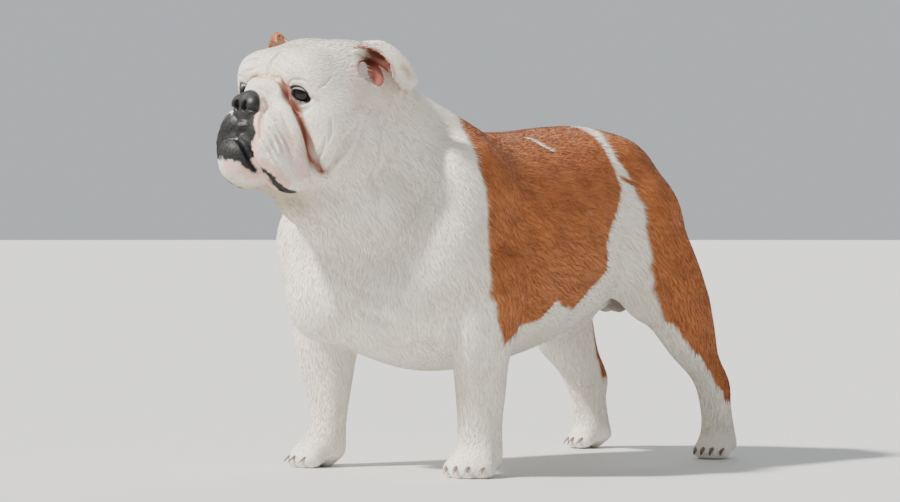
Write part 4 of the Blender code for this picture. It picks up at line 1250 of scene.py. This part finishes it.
def scatter(mesh, weight, count, rng):
    """Even places on the mesh, denser where weight is larger: triangle and shares of its corners."""
    mesh.calc_loop_triangles()
    corners = np.empty(len(mesh.loop_triangles) * 3, np.int32)
    mesh.loop_triangles.foreach_get("vertices", corners)
    corners = corners.reshape(-1, 3)
    points = points_of(mesh)[corners]
    area = np.linalg.norm(np.cross(points[:, 1] - points[:, 0], points[:, 2] - points[:, 0]), axis=1)
    total = np.cumsum(area * weight[corners].mean(1))
    picks = (np.arange(count) + rng.random(count)) / count * total[-1]
    chosen = corners[np.minimum(np.searchsorted(total, picks), len(corners) - 1)]
    a, b = rng.random((2, count))
    over = a + b > 1
    a[over], b[over] = 1 - a[over], 1 - b[over]
    return chosen, np.stack([1 - a - b, a, b], axis=1)


def grow_coat(skin, tint, rough, material):
    """Joined tapered tufts that lie along the skin, in pieces by region."""
    mesh = skin.data
    points, normals = points_of(mesh), normals_of(mesh)
    spots = points / MM
    fine = fine_of(spots, to_head(points))
    rng = np.random.default_rng(7)
    count = TUFTS
    weight = (1 + DENSER * fine) * (1 - bare_of(spots, rough, normals))
    chosen, share = scatter(mesh, weight, count, rng)

    def at(values):
        return (values[chosen] * share[..., None]).sum(1)

    root, normal = at(points), at(normals)
    normal /= np.linalg.norm(normal, axis=1, keepdims=True)
    small = (fine[chosen] * share).sum(1)
    size = np.array(BODY_TUFT) + small[:, None] * (np.array(FACE_TUFT) - BODY_TUFT)
    size *= MM * rng.uniform(0.75, 1.2, (count, 1))
    verts = tuft_points(skin, root, normal, size, rng)
    shade = np.clip(at(tint) * (1 + TONE * rng.normal(size=(count, 1))), 0, 1)
    root = root - normal * (ROOT_DEPTH * MM)
    regions = region_of(root / MM, to_head(root))
    for name in sorted(set(regions)):
        members = np.flatnonzero(regions == name)
        parts = math.ceil(len(members) / TUFTS_EACH)
        for k, group in enumerate(np.array_split(members, parts)):
            label = f"coat_{name}" if parts == 1 else f"coat_{name}_{k + 1}"
            yield coat_piece(label, verts[group], normal[group], shade[group], material)


def tuft_points(skin, root, normal, size, rng):
    """The seven corners of each tuft, laid along the skin: three at the root, three at the middle."""
    length, width, lift = size.T
    way = lie_of(root) + STRAY * rng.normal(size=root.shape)
    way += SWIRL * np.stack([wobble(root / MM, 30, seed) for seed in (21, 22, 23)], axis=1)
    way -= (way * normal).sum(1)[:, None] * normal
    way /= np.maximum(np.linalg.norm(way, axis=1, keepdims=True), 1e-6)
    tree = BVHTree.FromObject(skin, bpy.context.evaluated_depsgraph_get())

    def laid(part, high):
        spot = root + way * (length * part)[:, None]
        found = [tree.find_nearest(p) for p in spot.tolist()]
        place = np.array([f[0][:] for f in found])
        up = np.array([f[1][:] for f in found])
        return place + up * (lift * high)[:, None]

    middle, tip = laid(*MIDDLE), laid(*TIP)
    deep = normal * (ROOT_DEPTH * MM)
    thick = normal * (RIDGE * width)[:, None]
    half = np.cross(normal, way) * (0.5 * width)[:, None]
    return np.stack(
        [root - deep - half, root - deep + half, root + thick,
         middle - 0.8 * half, middle + 0.8 * half, middle + thick, tip], axis=1
    )


def region_of(spots, head_spots):
    ahead = beyond_neck(spots)
    left = spots[:, 0] > 0
    names = np.where(left, "left", "right")
    part = np.where(spots[:, 1] < 0, "front", "rear")
    body = np.char.add(np.char.add(part, "_"), names)
    leg = spots[:, 2] < 150
    body = np.where(leg, np.char.add("leg_", body), np.char.add("body_", body))
    return np.where(ahead > 0, np.char.add("head_", names), body)


# Faces of one tuft: its root, its two lengths of three sides, and its tip
TUFT_FACES = [
    (0, 1, 2), (0, 3, 4, 1), (1, 4, 5, 2), (2, 5, 3, 0), (3, 6, 4), (4, 6, 5), (5, 6, 3),
]
# Where a tuft's corners lie on its patch of the map, across and along, from -1 to 1
TUFT_MAP = np.array([(-1, -1), (1, -1), (0, -1), (-0.8, 0), (0.8, 0), (0, 0), (0, 1)])
MAP_PATCH = 0.003


def coat_piece(name, verts, normal, shade, material):
    """One mesh of many flat tufts, each of a root, a middle and a tip."""
    count = len(verts)
    flat = np.concatenate([np.array(face) for face in TUFT_FACES])
    sizes = np.array([len(face) for face in TUFT_FACES])
    loops = (np.arange(count)[:, None] * 7 + flat).ravel()
    starts = (np.arange(count)[:, None] * len(flat) + np.cumsum(sizes) - sizes).ravel()
    mesh = bpy.data.meshes.new(name)
    mesh.vertices.add(count * 7)
    mesh.loops.add(len(loops))
    mesh.polygons.add(len(starts))
    mesh.vertices.foreach_set("co", verts.astype(np.float32).ravel())
    mesh.loops.foreach_set("vertex_index", loops.astype(np.int32))
    mesh.polygons.foreach_set("loop_start", starts.astype(np.int32))
    mesh.update(calc_edges=True)
    set_attribute(mesh, "tint", "FLOAT_COLOR", np.repeat(shade, 7, axis=0))
    uv = chart_of(verts[:, 0], normal)[:, None] + TUFT_MAP * MAP_PATCH / 2
    layer = mesh.uv_layers.new(name="OFBake")
    layer.data.foreach_set("uv", uv[:, flat].astype(np.float32).ravel())
    mesh.materials.append(material)
    return add_object(name, mesh)


def chart_of(root, normal):
    """Places on the map, in six charts of the skin's own shape, one for each way it faces."""
    axis = np.abs(normal).argmax(1)
    rows = np.arange(len(root))
    chart = axis * 2 + (normal[rows, axis] > 0)
    low, high = root.min(0), root.max(0)
    share = (root - low) / np.maximum(high - low, 1e-6)
    first, second = np.where(axis == 0, 1, 0), np.where(axis == 2, 1, 2)
    place = np.stack([share[rows, first], share[rows, second]], axis=1) * 0.94 + 0.03
    return (np.stack([chart % 3, chart // 3], axis=1) + place) / (3, 2)


# Materials
def new_material(name):
    material = bpy.data.materials.new(name)
    material.use_nodes = True
    nodes = material.node_tree.nodes
    return material, nodes, material.node_tree.links, nodes["Principled BSDF"]


def tinted(nodes, links, shader, noise_scale, amount):
    """The painted colour, made a little uneven."""
    tint = nodes.new("ShaderNodeAttribute")
    tint.attribute_name = "tint"
    place = nodes.new("ShaderNodeTexCoord")
    noise = nodes.new("ShaderNodeTexNoise")
    noise.inputs["Scale"].default_value = noise_scale
    noise.inputs["Detail"].default_value = 4
    links.new(place.outputs["Object"], noise.inputs["Vector"])
    span = nodes.new("ShaderNodeMapRange")
    span.inputs["To Min"].default_value = 1 - amount
    span.inputs["To Max"].default_value = 1 + amount
    links.new(noise.outputs["Fac"], span.inputs["Value"])
    mix = nodes.new("ShaderNodeVectorMath")
    mix.operation = "SCALE"
    links.new(tint.outputs["Color"], mix.inputs[0])
    links.new(span.outputs["Result"], mix.inputs["Scale"])
    links.new(mix.outputs["Vector"], shader.inputs["Base Color"])
    return place


def skin_material():
    material, nodes, links, shader = new_material("skin")
    place = tinted(nodes, links, shader, 900, 0.12)
    rough = nodes.new("ShaderNodeAttribute")
    rough.attribute_name = "rough"
    links.new(rough.outputs["Fac"], shader.inputs["Roughness"])
    stretch = nodes.new("ShaderNodeMapping")
    stretch.inputs["Scale"].default_value = (1100, 260, 420)
    links.new(place.outputs["Object"], stretch.inputs["Vector"])
    grain = nodes.new("ShaderNodeTexNoise")
    grain.inputs["Scale"].default_value = 1
    grain.inputs["Detail"].default_value = 3
    links.new(stretch.outputs["Vector"], grain.inputs["Vector"])
    bump = nodes.new("ShaderNodeBump")
    bump.inputs["Strength"].default_value = 0.35
    bump.inputs["Distance"].default_value = 0.0006
    links.new(grain.outputs["Fac"], bump.inputs["Height"])
    links.new(bump.outputs["Normal"], shader.inputs["Normal"])
    return material


def coat_material():
    material, nodes, links, shader = new_material("coat")
    tinted(nodes, links, shader, 300, 0.06)
    shader.inputs["Roughness"].default_value = 0.55
    shader.inputs["Specular IOR Level"].default_value = 0.35
    return material


def eye_material():
    material, nodes, links, shader = new_material("eye")
    tint = nodes.new("ShaderNodeAttribute")
    tint.attribute_name = "tint"
    links.new(tint.outputs["Color"], shader.inputs["Base Color"])
    shader.inputs["Roughness"].default_value = 0.06
    shader.inputs["Specular IOR Level"].default_value = 0.4
    return material


def claw_material():
    material, nodes, links, shader = new_material("claw")
    tinted(nodes, links, shader, 700, 0.2)
    shader.inputs["Roughness"].default_value = 0.38
    return material


# Eyes and claws
GAZE = (0.5, -0.86, 0.0)
IRIS, IRIS_RIM, PUPIL = colour(34, 17, 10), colour(24, 12, 8), colour(5, 4, 5)
EYE_WHITE = 0.55 * colour(120, 92, 84)
# Angles from the gaze, in degrees, over which the pupil ends, the iris darkens and the white begins
PUPIL_EDGE, IRIS_EDGE, WHITE_EDGE = (18, 23), (28, 38), (42, 48)
# How far the eye bulges at the cornea, and over what angle
BULGE, BULGE_WIDTH = 0.5, 28


def build_eye(side, sign, material):
    """A ball with a slightly bulging cornea, over a dark iris and pupil."""
    clay = bmesh.new()
    bmesh.ops.create_uvsphere(clay, u_segments=64, v_segments=48, radius=1)
    mesh = mesh_of(f"eyeball_{side}", clay)
    way = Vector((sign * GAZE[0], GAZE[1], GAZE[2])).normalized()
    turn = np.array(way.to_track_quat("Z", "Y").to_matrix())
    points = points_of(mesh)
    apart = np.degrees(np.arccos(np.clip(points[:, 2], -1, 1)))
    radius = EYE_RADIUS - BULGE / 2 + BULGE * np.exp(-((apart / BULGE_WIDTH) ** 2))
    x, y, z = EYE_AT
    set_points(mesh, from_head((points * radius[:, None]) @ turn.T + (sign * x, y, z)))
    mesh.shade_smooth()
    tint = paint(np.tile(IRIS, (len(apart), 1)), IRIS_RIM, ramp(apart, *IRIS_EDGE))
    tint = paint(tint, PUPIL, 1 - ramp(apart, *PUPIL_EDGE))
    tint = paint(tint, EYE_WHITE, ramp(apart, *WHITE_EDGE))
    set_attribute(mesh, "tint", "FLOAT_COLOR", tint)
    mesh.materials.append(material)
    return add_object(f"eyeball_{side}", mesh)


# Line of a claw from the toe: how far ahead in toe radii, height, half width
CLAW_LINE = [(0.3, 16.5, 2.5), (0.7, 16, 2.6), (1.0, 14, 2.4), (1.22, 11.8, 1.8), (1.38, 9.4, 0.8)]
# Its colours, and the heights between which the tip darkens
CLAW_TINT, CLAW_TIP, CLAW_FADE = colour(120, 96, 82), colour(70, 56, 50), (-15, -9)
CLAW_RINGS = 12


def build_claws(material):
    clay = bmesh.new()
    places = np.linspace(0, len(CLAW_LINE) - 1, CLAW_RINGS)
    sizes = np.interp(places, range(len(CLAW_LINE)), [size for *_, size in CLAW_LINE])
    for _, side, x, y, width, reach, radius in paws():
        ahead, across = heading(side, TOES_OUT)
        up = Vector((0, 0, 0.87)) - ahead * 0.5
        for tip in toe_tips(side, x, y, width, reach):
            line = [Vector((*tip, z)) + ahead * radius * far for far, z, _ in CLAW_LINE]
            path = smooth_path(line, CLAW_RINGS)
            loft(clay, [ring(p, across, up, s, s, s * 0.9, 2, 14) for p, s in zip(path, sizes)])
    bmesh.ops.recalc_face_normals(clay, faces=clay.faces)
    mesh = mesh_of("claws", clay)
    mesh.shade_smooth()
    height = points_of(mesh)[:, 2] / MM
    tint = paint(np.tile(CLAW_TINT, (len(height), 1)), CLAW_TIP, ramp(-height, *CLAW_FADE))
    set_attribute(mesh, "tint", "FLOAT_COLOR", tint)
    mesh.materials.append(material)
    return add_object("claws", mesh)


# Camera, light and floor
CAMERA_AT = (2469, -2469, 270)
CAMERA_LENS = 123.5
AIM_ASIDE, AIM_DOWN = math.radians(1.243), math.radians(0.445)
# Lights: name, where they are seen from the dog, power, width in degrees, colour
SUNS = [
    ("key", (-0.45, -0.9, 1.1), 8.0, 5, (1, 0.965, 0.9)),
    ("back", (-0.7, 0.9, 0.8), 0.7, 40, (0.92, 0.96, 1)),
]
SKY_TINT, SKY_POWER = (0.86, 0.9, 0.95, 1), 0.6
FLOOR_TINT, FLOOR_ROUGH, FLOOR_RADIUS = (0.62, 0.62, 0.6, 1), 0.85, 60
# The lowest that a point of the looks may lie, in metres
FLOOR_GAP = 0.0002


def place_camera(shift):
    camera = bpy.data.objects.new("Camera", bpy.data.cameras.new("Camera"))
    bpy.context.scene.collection.objects.link(camera)
    camera.location = mm(*CAMERA_AT) + shift
    camera.data.lens = CAMERA_LENS
    camera.data.sensor_width = 36
    camera.rotation_euler = (math.radians(90) - AIM_DOWN, 0, math.radians(45) + AIM_ASIDE)
    bpy.context.scene.camera = camera


def add_sun(name, spot, power, spread, shade):
    light = bpy.data.objects.new(name, bpy.data.lights.new(name, "SUN"))
    bpy.context.scene.collection.objects.link(light)
    light.data.energy = power
    light.data.angle = math.radians(spread)
    light.data.color = shade
    light.rotation_mode = "QUATERNION"
    light.rotation_quaternion = (-Vector(spot)).to_track_quat("-Z", "Y")


def build_studio():
    clay = bmesh.new()
    bmesh.ops.create_circle(clay, cap_ends=True, segments=64, radius=FLOOR_RADIUS)
    mesh = mesh_of("floor", clay)
    material, _, _, shader = new_material("floor")
    shader.inputs["Base Color"].default_value = FLOOR_TINT
    shader.inputs["Roughness"].default_value = FLOOR_ROUGH
    mesh.materials.append(material)
    floor = add_object("floor", mesh)
    floor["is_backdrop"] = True
    for sun in SUNS:
        add_sun(*sun)
    world = bpy.data.worlds.new("studio")
    bpy.context.scene.world = world
    world.use_nodes = True
    background = world.node_tree.nodes["Background"]
    background.inputs["Color"].default_value = SKY_TINT
    background.inputs["Strength"].default_value = SKY_POWER


def finish_skin(skin, form, material):
    """Colours the skin and sets it inside the coat's tips."""
    mesh = skin.data
    points = points_of(mesh)
    spots, head_spots = points / MM, to_head(points)
    turn = np.array(head_matrix())[:3, :3]
    tint, rough = colours_of(spots, head_spots, normals_of(mesh) @ turn, form)
    fine = fine_of(spots, head_spots)
    depth = (BODY_TUFT[2] + fine * (FACE_TUFT[2] - BODY_TUFT[2])) * ramp(rough, 0.45, 0.6)
    set_points(mesh, points - normals_of(mesh) * (depth * MM)[:, None])
    set_attribute(mesh, "tint", "FLOAT_COLOR", tint)
    set_attribute(mesh, "rough", "FLOAT", rough)
    mesh.materials.clear()
    mesh.materials.append(material)
    mesh.shade_smooth()
    return tint, rough


def placed(obj, shift):
    """Moves a piece from the model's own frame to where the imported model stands."""
    points = points_of(obj.data) + shift
    points[:, 2] = np.maximum(points[:, 2], FLOOR_GAP)
    set_points(obj.data, points)
    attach(obj, "root")


def main():
    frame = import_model()
    cad_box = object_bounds()
    low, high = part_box("eye_left")
    shift = (low + high) / 2 - head_matrix() @ mm(*EYE_AT)
    form = head_form()
    skin = build_skin(form)
    tint, rough = finish_skin(skin, form, skin_material())
    coats = list(grow_coat(skin, tint, rough, coat_material()))
    skin.name = "skin"
    nodes = list(frame["nodes"])
    flesh = [n for n in nodes if not n.startswith(("eye_", "claw_"))]
    for piece in [skin, *coats]:
        placed(piece, shift)
    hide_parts(*flesh)
    for side, sign in SIDES.items():
        eye = build_eye(side, sign, eye_material())
        placed(eye, shift)
        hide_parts(f"eye_{side}")
    claws = build_claws(claw_material())
    placed(claws, shift)
    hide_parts(*[n for n in nodes if n.startswith("claw_")])
    build_studio()
    place_camera(shift)
    [[list(corner) for corner in box] for box in (cad_box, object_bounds())]


main()
